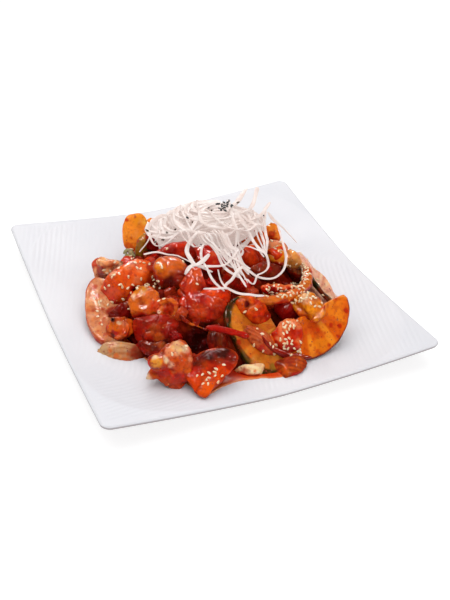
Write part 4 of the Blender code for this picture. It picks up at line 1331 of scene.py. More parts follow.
def serve_vegetables(pepper, apple, crisp, root, onion, leaf):
    looks = {
        "apple_back": (apple, colour(255, 158, 66), 0.1),
        "pepper_red": (pepper, colour(200, 52, 30), 0.35),
        "pepper_orange": (pepper, colour(206, 100, 34), 0.35),
        "pepper_dark": (pepper, CRIMSON, 0.4),
        "carrot_middle": (root, colour(200, 70, 34), 0.35),
        "carrot_front": (root, colour(216, 76, 26), 0.3),
        "carrot_high": (root, colour(230, 116, 62), 0.3),
        "apple_small": (apple, colour(240, 146, 52), 0.2),
        # The dark crimson lump under apple_upper is painted shade.
        "shade_lump_left": (pepper, colour(130, 24, 24), 0.3),
        "carrot_brown": (root, colour(132, 54, 42), 0.35),
        "carrot_low": (root, colour(156, 62, 40), 0.4),
        "pepper_middle": (pepper, RED, 0.3),
        "carrot_long": (root, VERMILION, 0.4),
        "apple_block": (crisp, colour(246, 146, 62), 0.2),
        "radish_block": (onion, colour(240, 166, 138), 0.2),
        "carrot_block": (root, VERMILION, 0.2),
        "cucumber_block": (crisp, colour(232, 162, 100), 0.2),
        "cucumber_back": (crisp, colour(168, 128, 56), 0.2),
    }
    for number, (name, (material, flesh, cover)) in enumerate(looks.items()):
        if name in MOUNDS:
            form = fuse([mound(*MOUNDS[name], fullness=0.5, cuts=0 if name in EVEN else 5)], 0.8, 2)
        elif name in CHUNKS:
            form = lump(*CHUNKS[name], 90 + number, 3, 0.85)
        else:
            centre, size, turn = BLOCKS[name]
            form = fuse([ball(centre, size, turn, 4, 5, 0.42)], 0.8, 2)
        tint = dressed(flesh, CRIMSON if material is pepper else RED, cover, heap_shade=0.6, seed=90 + number, runs=0.3)
        folds = ((12, 0.7),) if name in MOUNDS and material is not apple else ()
        serve(name, form, material, tint, ((9, 0.9), (4, 0.4), (2, 0.12)), 90 + number, folds=folds)
    seeded_layer(apple)
    skins = {
        "onion_left": (colour(200, 162, 132), colour(176, 124, 88), 0.22, 0.3),
        "onion_dark_upper": (colour(164, 40, 30), CRIMSON, 0.35, 0.35),
        "onion_dark_lower": (colour(122, 36, 27), WINE, 0.35, 0.35),
        "onion_fan": (colour(104, 26, 20), WINE, 0.3, 0.6),
        "onion_clear": (colour(200, 108, 74), colour(166, 64, 42), 0.2, 0.2),
        "onion_sliver": (colour(250, 226, 194), colour(246, 204, 160), 0.0, 0.0),
        "onion_right": (colour(184, 88, 42), colour(130, 46, 26), 0.2, 0.3),
    }
    for number, (name, (flesh, vein, cover, heap_shade)) in enumerate(skins.items()):
        if name in MOUNDS:
            form = fuse([mound(*MOUNDS[name])], 0.8, 2)
            tip = on_plane(MOUNDS[name][0], *MOUNDS[name][3][0])
            root_end = 2 * np.array(MOUNDS[name][0]) - tip
            tint = veined((tip, root_end, 22), flesh, vein)
        else:
            form = petal(*PETALS[name], 1.8)
            tint = veined(PETALS[name], flesh, vein)
        lumps = ((8, 0.8), (4, 0.4)) if name in MOUNDS and number else ((7, 0.3),)
        folds = ((10, 0.9), (5, 0.4)) if name.startswith("onion_dark") else ()
        tint = dressed(tint, cover=cover, heap_shade=heap_shade, seed=130 + number)
        serve(name, form, onion, tint, lumps, 130 + number, folds)
    strip = fuse([roll(CHILLI_PATH, 5.0, 2.6, (-0.2, -0.6, 0.7), 1.5, 14, 0.3)], 0.7, 1)
    tint = dressed(colour(176, 32, 28), CRIMSON, 0.4, heap_shade=0.1, seed=150)
    serve("chilli_strip", strip, root, tint, ((5, 0.5),), 150)
    sprig = [
        roll(at_heights(((123, 254), (128, 250), (134, 255)), (27, 30, 28)), 5, 2.5),
        roll(at_heights(((123, 258), (128, 256), (134, 259)), (24, 27, 26)), 4, 3),
        roll(at_heights(((127, 249), (131, 253), (136, 257)), (28, 30, 28)), 3, 2),
    ]
    tint = dressed(GREY_GREEN, CRIMSON, 0.2, heap_shade=0.0, seed=151)
    serve("herb_sprig", fuse(sprig, 0.7, 1), leaf, tint, ((3, 0.4),), 151)


# The rows at the back: how many places, the first one's bearing and the step to the next in degrees,
# and each row's distance from the heap's middle and its height.
BACK_PLACES = 7
BACK_FROM, BACK_STEP = 10, 20
LOW_ROW, HIGH_ROW = (84, 18), (66, 37)
LAST_INWARDS = 9  # how far the last low place is drawn in
HIGH_LAST = 5  # the last place with a high piece


def serve_back(squid, apple, crisp, root, pepper):
    """The side that faces away carries the same kinds of piece, set out by a rule."""
    draw = random.Random(11)
    for order in range(BACK_PLACES):
        degrees = BACK_FROM + BACK_STEP * order
        outward = np.array([*turned(1, 0, degrees), 0])
        along = np.array([*turned(0, 1, degrees), 0])
        inwards = LAST_INWARDS if order == BACK_PLACES - 1 else 0
        low = np.array([HEAP_X, HEAP_Y, LOW_ROW[1]]) + outward * (LOW_ROW[0] - inwards)
        high = np.array([HEAP_X, HEAP_Y, HIGH_ROW[1]]) + outward * HIGH_ROW[0]
        if order % 3 == 1:
            values = (low - along * 21, low + along * 21, low + outward * 12 - np.array([0, 0, 7]), 7, 12, 2, 1)
            form = fuse([half_moon(*values, dish=0.4)], 0.9, 2)
            rind, flesh, material = (GREEN, OCHRE, crisp) if order == 1 else (RIND_RED, ORANGE, apple)
            tint = dressed(slice_tint(values, flesh, rind), cover=0.2, heap_shade=0.4, seed=order, runs=0.1)
            serve(f"back_slice_{order}", form, material, tint, seed=160 + order)
        else:
            size = (30 + draw.uniform(-4, 4), 24 + draw.uniform(-3, 3), 24)
            material, flesh = ((squid, PEACH), (root, VERMILION))[order // 2 % 2]
            form = lump(low, size, degrees + 90, 40 + order)
            serve(f"back_low_{order}", form, material, dressed(flesh, cover=0.4, seed=170 + order), seed=170 + order)
        if order > HIGH_LAST:
            continue
        if order % 2:
            form = fuse([ball(high, (20, 14, 15), degrees + 40, 6, -5, 0.42)], 0.9, 2)
            material, flesh = crisp, (OCHRE, ORANGE, CRIMSON)[order // 2]
        else:
            form = lump(high, (28, 22, 18), degrees + 70, 60 + order)
            material, flesh = pepper, RED if order else AMBER
        serve(f"back_high_{order}", form, material, dressed(flesh, cover=0.3, seed=180 + order), seed=180 + order)
    slope = (
        ((-58, 14, 32), (27, 21, 20), 60, pepper, RED), ((-63, 32, 21), (24, 20, 18), 20, apple, ORANGE),
        ((-50, 29, 27), (22, 17, 15), 50, pepper, CRIMSON), ((-44, 49, 18), (18, 16, 15), 10, squid, PEACH),
        ((-45, 16, 35), (22, 18, 14), 70, root, VERMILION), ((-79, 13, 15), (22, 18, 16), 80, root, SCARLET),
    )
    for number, (centre, size, degrees, material, flesh) in enumerate(slope):
        form = lump(centre, size, degrees, 80 + number)
        serve(f"back_slope_{number}", form, material, dressed(flesh, cover=0.35, seed=190 + number), seed=190 + number)


def heap_height(x, y):
    reach = np.hypot(x - HEAP_X, y - HEAP_Y) / HEAP_RADIUS
    dome = np.clip(1 - reach**HEAP_POWER, 0, None)
    return WELL_TOP + (HEAP_TOP - WELL_TOP) * dome + 1.6 * np.sin(x / 9.0) * np.sin(y / 8.0 + 1) * dome


def serve_bed(material):
    """What lies between the pieces: a soaked mass of shreds, seen only in the gaps."""
    angles = np.linspace(0, 2 * math.pi, 120, endpoint=False)
    uneven = 1 + 0.035 * np.sin(3 * angles + 0.6) + 0.025 * np.sin(7 * angles)
    rings = []
    for share in np.linspace(0.03, 1, 44):
        x = HEAP_X + (HEAP_RADIUS - 2) * share * uneven * np.cos(angles)
        y = HEAP_Y + (HEAP_RADIUS - 2) * share * uneven * np.sin(angles)
        flat = np.column_stack([x, y, np.zeros(len(x))])
        shreds = 1 - np.abs(rough(flat, 5.5, 3)) * 2
        z = heap_height(x, y) - 1.6 + 1.5 * shreds * (1 - share**6) + 1.2 * rough(flat, 12, 8)
        rings.append(np.column_stack([x, y, np.maximum(z, WELL_TOP + 1.5)]))
    x, y, _ = rings[-1].T
    rings.append(np.column_stack([x, y, plate_top(x, y) - 0.3]))
    # The deep colour and the strength after it are painted shade that darkens the bed inside the heap.
    tint = dressed(colour(132, 34, 24), CRIMSON, 0.25, colour(74, 15, 12), 0.75, 5)
    serve("salad_bed", loft(rings), material, tint, ((3, 0.3),), 5)


# ---- scattered things ----


def new_tree(name, inputs):
    """A geometry tree with a mesh in, a mesh out and named inputs: label, kind and default."""
    tree = bpy.data.node_groups.new(name, "GeometryNodeTree")
    tree.interface.new_socket("Geometry", in_out="INPUT", socket_type="NodeSocketGeometry")
    for label, kind, default in inputs:
        socket = tree.interface.new_socket(label, in_out="INPUT", socket_type=kind)
        if default is not None:
            socket.default_value = default
    tree.interface.new_socket("Geometry", in_out="OUTPUT", socket_type="NodeSocketGeometry")
    return tree, tree.nodes.new("NodeGroupInput"), tree.nodes.new("NodeGroupOutput")


def node(tree, kind, links=(), **settings):
    """A new node with its properties set and its inputs linked or given, by label or number."""
    made = tree.nodes.new(kind)
    for key, value in settings.items():
        setattr(made, key, value)
    for label, value in dict(links).items():
        if isinstance(value, bpy.types.NodeSocket):
            tree.links.new(value, made.inputs[label])
        else:
            made.inputs[label].default_value = value
    return made


def random_between(tree, low, high, seed):
    """A random number, or vector, between two bounds for each point."""
    vector = isinstance(low, tuple)
    first = 0 if vector else 2
    kind = "FLOAT_VECTOR" if vector else "FLOAT"
    made = node(tree, "FunctionNodeRandomValue", {first: low, first + 1: high, "Seed": seed}, data_type=kind)
    return made.outputs[0 if vector else 1]


def paint(tree, shape, material, outputs):
    """Ends a tree: the material goes on and the shape goes out."""
    painted = node(tree, "GeometryNodeSetMaterial", {"Geometry": shape.outputs[0], "Material": material})
    tree.links.new(painted.outputs[0], outputs.inputs[0])
    return tree


def grow(name, host, tree, values):
    """Runs a geometry tree on a host object and keeps the result as a plain mesh object."""
    modifier = host.modifiers.new("grow", "NODES")
    modifier.node_group = tree
    for item in tree.interface.items_tree:
        if item.in_out == "INPUT" and item.name in values:
            modifier[item.identifier] = values[item.name]
    mesh = evaluated_mesh(host)
    bpy.data.objects.remove(host)
    mesh.name = name
    return add_object(name, mesh)


def seed_tree():
    """Places a seed on every point, its flat side along the point's own upward direction."""
    tree, inputs, outputs = new_tree(
        "seeds_on_points",
        (
            ("Length", "NodeSocketFloat", 3.2 * MM), ("Width", "NodeSocketFloat", 1.9 * MM),
            ("Thickness", "NodeSocketFloat", 1.1 * MM), ("Seed", "NodeSocketInt", 1),
            ("Material", "NodeSocketMaterial", None),
        ),
    )
    get = inputs.outputs
    egg = node(tree, "GeometryNodeMeshUVSphere", {"Segments": 8, "Rings": 6, "Radius": 0.5})
    place = node(tree, "GeometryNodeInputPosition").outputs[0]
    parts = node(tree, "ShaderNodeSeparateXYZ", {0: place})
    taper = node(tree, "ShaderNodeMapRange", {0: parts.outputs[0], 1: -0.5, 2: 0.5, 3: 0.55, 4: 1.15})
    narrow = node(tree, "ShaderNodeMath", {0: parts.outputs[1], 1: taper.outputs[0]}, operation="MULTIPLY")
    shaped = node(tree, "ShaderNodeCombineXYZ", {0: parts.outputs[0], 1: narrow.outputs[0], 2: parts.outputs[2]})
    drop = node(tree, "GeometryNodeSetPosition", {"Geometry": egg.outputs["Mesh"], "Position": shaped.outputs[0]})
    size = node(tree, "ShaderNodeCombineXYZ", {0: get["Length"], 1: get["Width"], 2: get["Thickness"]})
    seed = node(tree, "GeometryNodeTransform", {"Geometry": drop.outputs[0], "Scale": size.outputs[0]})
    up = node(tree, "GeometryNodeInputNamedAttribute", {"Name": "up"}, data_type="FLOAT_VECTOR")
    facing = node(tree, "FunctionNodeAlignRotationToVector", {"Vector": up.outputs[0]}, axis="Z")
    spin = random_between(tree, 0.0, 2 * math.pi, get["Seed"])
    wobble = random_between(tree, (-0.25, -0.25, 0), (0.25, 0.25, 0), get["Seed"])
    tilt = node(tree, "ShaderNodeSeparateXYZ", {0: wobble})
    angles = node(tree, "ShaderNodeCombineXYZ", {0: tilt.outputs[0], 1: tilt.outputs[1], 2: spin})
    lying = node(tree, "FunctionNodeEulerToRotation", {0: angles.outputs[0]})
    turn = node(
        tree, "FunctionNodeRotateRotation", {0: facing.outputs[0], 1: lying.outputs[0]}, rotation_space="LOCAL"
    )
    scale = random_between(tree, 0.85, 1.1, get["Seed"])
    spread = node(
        tree, "GeometryNodeInstanceOnPoints",
        {"Points": get["Geometry"], "Instance": seed.outputs[0], "Rotation": turn.outputs[0], "Scale": scale},
    )
    real = node(tree, "GeometryNodeRealizeInstances", {0: spread.outputs[0]})
    smooth = node(tree, "GeometryNodeSetShadeSmooth", {0: real.outputs[0]})
    return paint(tree, smooth, get["Material"], outputs)


def points_object(name, places, ups):
    mesh = bpy.data.meshes.new(name)
    mesh.from_pydata((np.array(places) * MM).tolist(), [], [])
    attribute = mesh.attributes.new("up", "FLOAT_VECTOR", "POINT")
    attribute.data.foreach_set("vector", np.array(ups, float).ravel())
    return add_object(name, mesh)


# Single white seeds by place in the picture.
WHITE_SPOTS = (
    (158, 263), (162, 267), (137, 268), (107, 273), (110, 271), (141, 279), (152, 277), (154, 280),
    (158, 281), (145, 285), (128, 288), (131, 293), (133, 285), (138, 286), (154, 287), (155, 284),
    (167, 249), (197, 284), (123, 299), (112, 302), (99, 302), (164, 299), (159, 301), (129, 309),
    (186, 346), (197, 376), (209, 373), (215, 376), (222, 376), (209, 378), (208, 384), (224, 365),
    (203, 384), (218, 382), (245, 312), (256, 309), (257, 329), (262, 334), (254, 345), (263, 351),
    (270, 344), (273, 347), (276, 345), (291, 355), (274, 354), (300, 352), (297, 321), (292, 303),
    (323, 295), (290, 266), (296, 264), (287, 265), (144, 263), (131, 256), (134, 258), (114, 275),
    (140, 262), (263, 247), (172, 354), (183, 262), (104, 270), (119, 268), (160, 288), (216, 369),
)
# Dense patches of white seeds: the middle, both reaches and how many.
WHITE_PATCHES = (
    (288, 327, 8, 5, 16), (286, 341, 7, 8, 18), (296, 345, 5, 7, 6), (305, 297, 11, 5, 20), (316, 303, 6, 5, 5),
    (299, 300, 6, 4, 8), (286, 293, 10, 3, 20), (298, 286, 8, 4, 26), (305, 276, 5, 8, 26), (274, 288, 8, 6, 16),
    (268, 293, 5, 4, 5), (281, 295, 13, 2, 18), (304, 269, 5, 6, 16), (142, 286, 12, 3, 5), (140, 266, 12, 8, 7),
    (210, 378, 12, 8, 5), (120, 285, 16, 18, 7),
)
# Seeds on the side that the picture doesn't show: the plan middle, the reach and how many.
WHITE_FAR = (
    (70, 10, 22, 26), (45, 48, 24, 22), (5, 62, 24, 22), (-35, 60, 20, 18), (-80, 38, 16, 10),
    (80, -30, 14, 12), (-95, -10, 14, 8),
)
# Dark seeds on the nest by place in the picture.
BLACK_SPOTS = (
    (217, 204), (219, 204), (223, 201), (226, 202), (228, 203), (222, 205), (224, 206), (223, 209), (221, 210),
    (225, 211), (225, 208), (231, 207), (208, 208), (187, 218), (229, 201), (226, 205), (263, 216), (232, 206),
    (224, 203), (227, 207), (222, 207), (228, 205), (220, 208),
)
BROWN_SPOTS = (
    (240, 204), (238, 203), (175, 229), (163, 239), (167, 233), (155, 242), (193, 222), (212, 211), (147, 231),
)
SEEDS_APART = 2.0
SEED_SIZES = {"Length": 3.3 * MM, "Width": 2.1 * MM}
DOWN = Vector((0, 0, -1))


def scatter_white_seeds(material):
    surface = surface_of(food.values())
    draw = random.Random(5)
    spots = list(WHITE_SPOTS)
    for across, down, reach_a, reach_d, count in WHITE_PATCHES:
        for _ in range(count):
            angle, share = draw.uniform(0, 2 * math.pi), math.sqrt(draw.random())
            spots.append((across + reach_a * share * math.cos(angle), down + reach_d * share * math.sin(angle)))
    places, ups = [], []
    for across, down in spots:
        place, normal = seen(surface, across, down)
        if place is not None and all(np.linalg.norm(place - other) > SEEDS_APART for other in places):
            places.append(place + normal * 0.3)
            ups.append(normal)
    for x, y, reach, count in WHITE_FAR:
        for _ in range(count):
            start = (x + draw.uniform(-reach, reach), y + draw.uniform(-reach, reach), OVER_ALL)
            place, normal, _, _ = surface.ray_cast(Vector(start), DOWN)
            if place is not None and normal.z > 0.35 and place.z > 14:
                places.append(np.array(place) + np.array(normal) * 0.3)
                ups.append(np.array(normal))
    host = points_object("seed_points", places, ups)
    made = grow("white_sesame", host, seed_tree(), {"Material": material, "Seed": 3, **SEED_SIZES})
    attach(made, "root")


def morsel_tree():
    """Places a small uneven block on every point, in the point's own tint."""
    tree, inputs, outputs = new_tree(
        "morsels_on_points",
        (
            ("Size", "NodeSocketFloat", 12.0 * MM), ("Seed", "NodeSocketInt", 1),
            ("Material", "NodeSocketMaterial", None),
        ),
    )
    get = inputs.outputs
    corners = {"Vertices X": 2, "Vertices Y": 2, "Vertices Z": 2}
    block = node(tree, "GeometryNodeMeshCube", {"Size": (1.0, 0.75, 0.6), **corners})
    soft = node(tree, "GeometryNodeSubdivisionSurface", {"Mesh": block.outputs[0], "Level": 3, "Edge Crease": 0.55})
    spin = random_between(tree, (-3.1, -3.1, -3.1), (3.1, 3.1, 3.1), get["Seed"])
    scale = random_between(tree, (0.7, 0.6, 0.7), (1.3, 1.1, 1.2), get["Seed"])
    sized = node(tree, "ShaderNodeVectorMath", {0: scale, "Scale": get["Size"]}, operation="SCALE")
    placed = node(
        tree, "GeometryNodeInstanceOnPoints",
        {"Points": get["Geometry"], "Instance": soft.outputs[0], "Rotation": spin, "Scale": sized.outputs[0]},
    )
    real = node(tree, "GeometryNodeRealizeInstances", {0: placed.outputs[0]})
    cloud = node(tree, "ShaderNodeTexNoise", {"Scale": 170.0, "Detail": 2.0})
    shift = node(tree, "ShaderNodeVectorMath", {0: cloud.outputs["Color"], 1: (0.5, 0.5, 0.5)}, operation="SUBTRACT")
    small = node(tree, "ShaderNodeVectorMath", {0: shift.outputs[0], "Scale": 9.0 * MM}, operation="SCALE")
    moved = node(tree, "GeometryNodeSetPosition", {"Geometry": real.outputs[0], "Offset": small.outputs[0]})
    smooth = node(tree, "GeometryNodeSetShadeSmooth", {0: moved.outputs[0]})
    return paint(tree, smooth, get["Material"], outputs)


MORSELS, MORSEL_TRIES, MORSELS_APART = 46, 1500, 7
MORSEL_TINTS = (RED, CRIMSON, colour(140, 44, 30), RED, colour(118, 30, 22), colour(184, 74, 44), colour(160, 52, 32))
# The heap's dark gaps: place in the picture and reach.
GAPS = ((200, 341, 17), (270, 325, 13), (292, 272, 12))


def serve_morsels(material):
    """Small cut pieces in the hollows of the heap, where its bed would show."""
    heights, bed = height_map(food.values()), height_map([food["salad_bed"]])
    draw = random.Random(33)
    places, tints = [], []
    for _ in range(MORSEL_TRIES):
        if len(places) >= MORSELS:
            break
        bearing, reach = draw.uniform(0, 2 * math.pi), math.sqrt(draw.random()) * 0.93
        away = HEAP_RADIUS * reach
        spot = np.array([[HEAP_X + away * math.cos(bearing), HEAP_Y + away * math.sin(bearing)]])
        cell = cells_of(spot)
        crowded = any(np.hypot(*(spot[0] - place[:2])) < MORSELS_APART for place in places)
        if crowded or heights[cell][0] > bed[cell][0] + 0.5:
            continue
        place = np.array([*spot[0], heights[cell][0] - 1.0])
        across, down = pictured(place)
        if any(math.hypot(across[0] - gap[0], down[0] - gap[1]) < gap[2] for gap in GAPS):
            continue
        places.append(place)
        tints.append((*(draw.choice(MORSEL_TINTS) ** DEEPENED), 1))
    host = points_object("morsel_points", places, [(0, 0, 1)] * len(places))
    host.data.attributes.new("tint", "FLOAT_COLOR", "POINT").data.foreach_set("color", np.array(tints, float).ravel())
    made = grow("morsels", host, morsel_tree(), {"Material": material, "Seed": 6})
    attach(made, "root")
    return made


def flake_tree():
    """Scatters small uneven flakes over the faces of its mesh."""
    tree, inputs, outputs = new_tree(
        "chilli_flakes",
        (
            ("Density", "NodeSocketFloat", 20000.0), ("Size", "NodeSocketFloat", 1.1 * MM),
            ("Seed", "NodeSocketInt", 1), ("Material", "NodeSocketMaterial", None),
        ),
    )
    get = inputs.outputs
    spread = node(
        tree, "GeometryNodeDistributePointsOnFaces",
        {"Mesh": get["Geometry"], "Density": get["Density"], "Seed": get["Seed"]},
    )
    chip = node(tree, "GeometryNodeMeshIcoSphere", {"Radius": 0.5, "Subdivisions": 1})
    flat = node(tree, "GeometryNodeTransform", {"Geometry": chip.outputs[0], "Scale": (1.0, 0.75, 0.3)})
    scale = random_between(tree, 0.45, 1.25, get["Seed"])
    sized = node(tree, "ShaderNodeMath", {0: scale, 1: get["Size"]}, operation="MULTIPLY")
    spin = random_between(tree, 0.0, 2 * math.pi, get["Seed"])
    angles = node(tree, "ShaderNodeCombineXYZ", {2: spin})
    lying = node(tree, "FunctionNodeEulerToRotation", {0: angles.outputs[0]})
    turn = node(
        tree, "FunctionNodeRotateRotation", {0: spread.outputs["Rotation"], 1: lying.outputs[0]},
        rotation_space="LOCAL",
    )
    placed = node(
        tree, "GeometryNodeInstanceOnPoints",
        {
            "Points": spread.outputs[0], "Instance": flat.outputs[0], "Rotation": turn.outputs[0],
            "Scale": sized.outputs[0],
        },
    )
    real = node(tree, "GeometryNodeRealizeInstances", {0: placed.outputs[0]})
    return paint(tree, real, get["Material"], outputs)


def scatter_flakes(material):
    points, faces, first = [], [], 0
    for name, thing in food.items():
        if name in ("dressing_pool", "salad_bed"):
            continue
        own, _ = read_mesh(thing)
        points.append(own)
        faces.extend([first + corner for corner in face.vertices] for face in thing.data.polygons)
        first += len(own)
    mesh = bpy.data.meshes.new("flake_host")
    mesh.from_pydata((np.vstack(points) * MM).tolist(), [], faces)
    host = add_object("flake_host", mesh)
    made = grow("chilli_flakes", host, flake_tree(), {"Material": material, "Seed": 4, "Density": 16000.0})
    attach(made, "root")


# ---- the noodle nest ----

# Single strands by their places, and how broad each one is along its way.
STRANDS = (
    ((-54, 12, 52), (-44, 9, 54), (-37, -1, 55), (-28, -11, 56), (-20, -23, 55), (-13, -31, 54)),
    (
        (-4, 5, 63), (-15, 6, 61), (-23, -2, 58), (-24, -11, 56), (-23, -22, 56), (-14, -27, 57),
        (-3, -31, 58), (11, -24, 60),
    ),
    ((-11, -7, 59), (-16, -14, 57), (-17, -30, 56), (-17, -42, 54), (-13, -54, 50)),
    ((-35, -29, 52), (-24, -24, 56), (-11, -19, 60)),
    (
        (-12, -53, 50), (-9, -48, 52), (-3, -46, 53), (7, -41, 55), (17, -47, 53), (29, -49, 50),
        (42, -42, 49), (53, -27, 50), (59, -9, 52), (65, 17, 58),
    ),
    ((-26, -44, 48), (-19, -50, 51), (-12, -53, 51), (1, -62, 50), (14, -68, 49)),
    ((61, 25, 62), (63, 14, 58), (70, 9, 52), (77, -1, 44)),
    (
        (4, -52, 50), (8, -55, 50), (18, -47, 53), (33, -35, 52), (32, -25, 56), (25, -16, 60), (17, -15, 62),
    ),
    ((-9, -32, 56), (-11, -41, 54), (-12, -55, 51)),
    ((-37, 48, 50), (-43, 37, 50), (-42, 30, 54), (-54, 22, 48)),
    ((1, -16, 62), (4, -29, 58), (10, -37, 55), (12, -40, 54)),
    ((20, 20, 69), (34, 30, 74), (48, 42, 78.6)),
    ((30, 14, 64), (46, 26, 70), (58, 42, 77)),
    ((38, 8, 60), (52, 18, 66), (63, 27, 70)),
    at_heights(((146, 237), (149, 244), (156, 247), (166, 245), (178, 240)), (50, 49, 51, 54, 57)),
    at_heights(((163, 225), (170, 231), (178, 241), (185, 247), (190, 251)), (60, 58, 55, 55, 55)),
    at_heights(((152, 226), (158, 233), (160, 241), (154, 249)), (56, 54, 51, 49)),
)
STRAND_BREADTHS = (
    (1.0, 0.75, 0.6, 0.7), (0.75, 1.1, 1.0, 0.7, 0.6), (0.8, 0.7, 0.55), (1.2, 1.1),
    (0.6, 0.9, 1.2, 0.85, 0.65, 0.5, 0.45),
    (0.4, 0.55, 0.9, 0.8, 0.7), (1.0, 0.9), (0.6, 0.55), (0.55, 0.6), (0.7, 0.5), (0.55, 0.6), (1.4, 1.2), (1.4, 1.2),
    (1.2, 0.9), (0.7, 0.9, 0.7), (0.9, 0.7, 0.6), (0.6, 0.8, 0.6),
)
# The plan grid that the ribbons are laid on.
MAP_STEP = 0.8
MAP_LOW = (-80.0, -85.0)
MAP_CELLS = (220, 210)


def nest_plan(angle, share):
    x, y = turned(NEST_LONG * share * math.cos(angle), NEST_WIDE * share * math.sin(angle), NEST_TURN)
    return NEST_X + x, NEST_Y + y


def nest_share(plan):
    along, wide = turned(plan[:, 0] - NEST_X, plan[:, 1] - NEST_Y, -NEST_TURN)
    return np.hypot(along / NEST_LONG, wide / NEST_WIDE)


def nest_height(plan):
    return NEST_EDGE + (NEST_TOP - NEST_EDGE) * np.clip(1 - nest_share(plan) ** 2.2, 0, None)


def cells_of(plan):
    cells = np.round((plan - np.array(MAP_LOW)) / MAP_STEP).astype(int)
    return np.clip(cells[:, 0], 0, MAP_CELLS[0] - 1), np.clip(cells[:, 1], 0, MAP_CELLS[1] - 1)


def height_map(things):
    """How high things reach over each cell of a fine plan grid."""
    surface = surface_of(things)
    heights = np.full(MAP_CELLS, WELL_TOP)
    for i in range(MAP_CELLS[0]):
        for j in range(MAP_CELLS[1]):
            start = (MAP_LOW[0] + i * MAP_STEP, MAP_LOW[1] + j * MAP_STEP, OVER_ALL)
            place, _, _, _ = surface.ray_cast(Vector(start), DOWN)
            if place is not None:
                heights[i, j] = place.z
    return heights


def ribbon_sides(path):
    along = units(np.gradient(path[:, :2], axis=0))
    return np.column_stack([-along[:, 1], along[:, 0]])


def lay(heights, plan, wished=None, stiffness=60):
    """Gives a plan path its heights: it rests on what lies there and bridges the hollows."""
    sides = ribbon_sides(plan)
    bed = np.max([heights[cells_of(plan + sides * off)] for off in (-1.3, 0, 1.3)], axis=0)
    bed = bed + RIBBON_THICK / 2 + 0.05
    z = bed if wished is None else np.maximum(bed, wished)
    for _ in range(stiffness):
        eased = z.copy()
        eased[1:-1] = (z[:-2] + 2 * z[1:-1] + z[2:]) / 4
        z = np.maximum(bed, eased)
    return np.column_stack([plan, z])


def press(heights, path):
    """Marks a laid ribbon's upper face in the map."""
    sides = ribbon_sides(path)
    for off in (-1.5, -0.75, 0, 0.75, 1.5):
        cells = cells_of(path[:, :2] + sides * off)
        heights[cells] = np.maximum(heights[cells], path[:, 2] + RIBBON_THICK / 2)


# Where the dense part of the nest ends in the picture, across and down.
NEST_FRONT = (
    (130, 228), (142, 233), (152, 238), (164, 241), (200, 243), (214, 248), (230, 255), (242, 247), (254, 236),
    (268, 228), (280, 216),
)


def longest(kept):
    """The first and last place of the longest run of kept places."""
    best, start = (0, 0), 0
    for place, value in enumerate([*kept, False]):
        if not value:
            if place - start > best[1] - best[0]:
                best = (start, place)
            start = place + 1
    return best


def nest_route(draw):
    """The plan of one ribbon of the nest: a loop round it, a long arc across it or a small curl."""
    start, kind = draw.uniform(0, 2 * math.pi), draw.random()
    if kind < 0.6:
        reach, drift = draw.uniform(0.35, 1.0), draw.uniform(-0.4, 0.4)
        length = draw.uniform(1.4, 3.4) * draw.choice((-1, 1))
        shift = np.array([draw.uniform(-1, 1) * 10, draw.uniform(-1, 1) * 7]) * (1 - reach)
        knots = []
        for step in range(9):
            share = step / 8
            knots.append(np.array(nest_plan(start + length * share, reach + drift * (share - 0.5) * reach)) + shift)
    elif kind < 0.92:
        far = start + math.pi + draw.uniform(-1.2, 1.2)
        middle = nest_plan(draw.uniform(0, 2 * math.pi), draw.uniform(0.0, 0.6))
        knots = (nest_plan(start, draw.uniform(0.6, 1.05)), middle, nest_plan(far, draw.uniform(0.6, 1.05)))
    else:
        centre = np.array(nest_plan(start, math.sqrt(draw.random()) * 0.75))
        size, turns, spin = draw.uniform(7, 15), draw.uniform(2.4, 5.0), draw.choice((-1, 1))
        knots = []
        for step in range(9):
            angle = start + spin * turns * step / 8
            wide = size * (1 + 0.04 * step)
            knots.append(centre + wide * np.array([math.cos(angle), 0.8 * math.sin(angle)]))
    return smooth_path(knots, 1.5)


OVER_DOME = 1.2  # how far above the dome a draped ribbon runs


def on_dome(across, down, floor):
    """Where the line of sight meets the nest's dome, or else where it comes down to the given height."""
    direction = sight(across, down)
    for reach in np.arange(560, 800, 0.8):
        place = EYE + direction * reach
        if place[2] < floor:
            break
        if nest_share(place[None, :2])[0] < 1 and place[2] < nest_height(place[None, :2])[0] + OVER_DOME:
            return place
    return at_height(across, down, floor)


# Ribbons draped over the nest: the height at which they run off the dome and their places in the picture.
DRAPED = (
    (56, ((197, 201), (199, 214), (202, 225), (213, 230), (232, 231), (249, 229), (260, 226), (265, 215), (265, 207))),
    (56, ((148, 231), (160, 233), (178, 234), (200, 236), (222, 237), (240, 232), (256, 222))),
    (56, ((151, 222), (146, 230), (150, 236), (162, 238), (176, 240), (190, 236))),
    (56, ((147, 234), (151, 224), (160, 217), (176, 217), (190, 222))),
    (58, ((235, 214), (246, 230), (256, 246), (264, 257))),
    (58, ((243, 211), (254, 230), (262, 246), (267, 256))),
    (58, ((237, 222), (249, 237), (258, 248), (265, 253))),
    (58, ((250, 212), (258, 226), (263, 240), (265, 252))),
    (57, ((262, 216), (265, 230), (267, 243), (266, 256))),
    (57, ((240, 232), (238, 244), (243, 251), (240, 256), (230, 257))),
    (58, ((180, 205), (184, 218), (191, 232), (200, 243), (214, 249))),
    (58, ((172, 213), (176, 226), (186, 238), (196, 250), (203, 254))),
    (58, ((206, 210), (216, 222), (228, 232), (240, 238))),
    (58, ((228, 200), (231, 214), (234, 226), (236, 240), (235, 250))),
    (57, ((222, 208), (236, 214), (248, 224), (262, 238))),
    (56, ((152, 236), (168, 240), (186, 238), (203, 241), (218, 246))),
    (56, ((196, 235), (214, 240), (232, 242), (248, 236), (264, 229))),
)


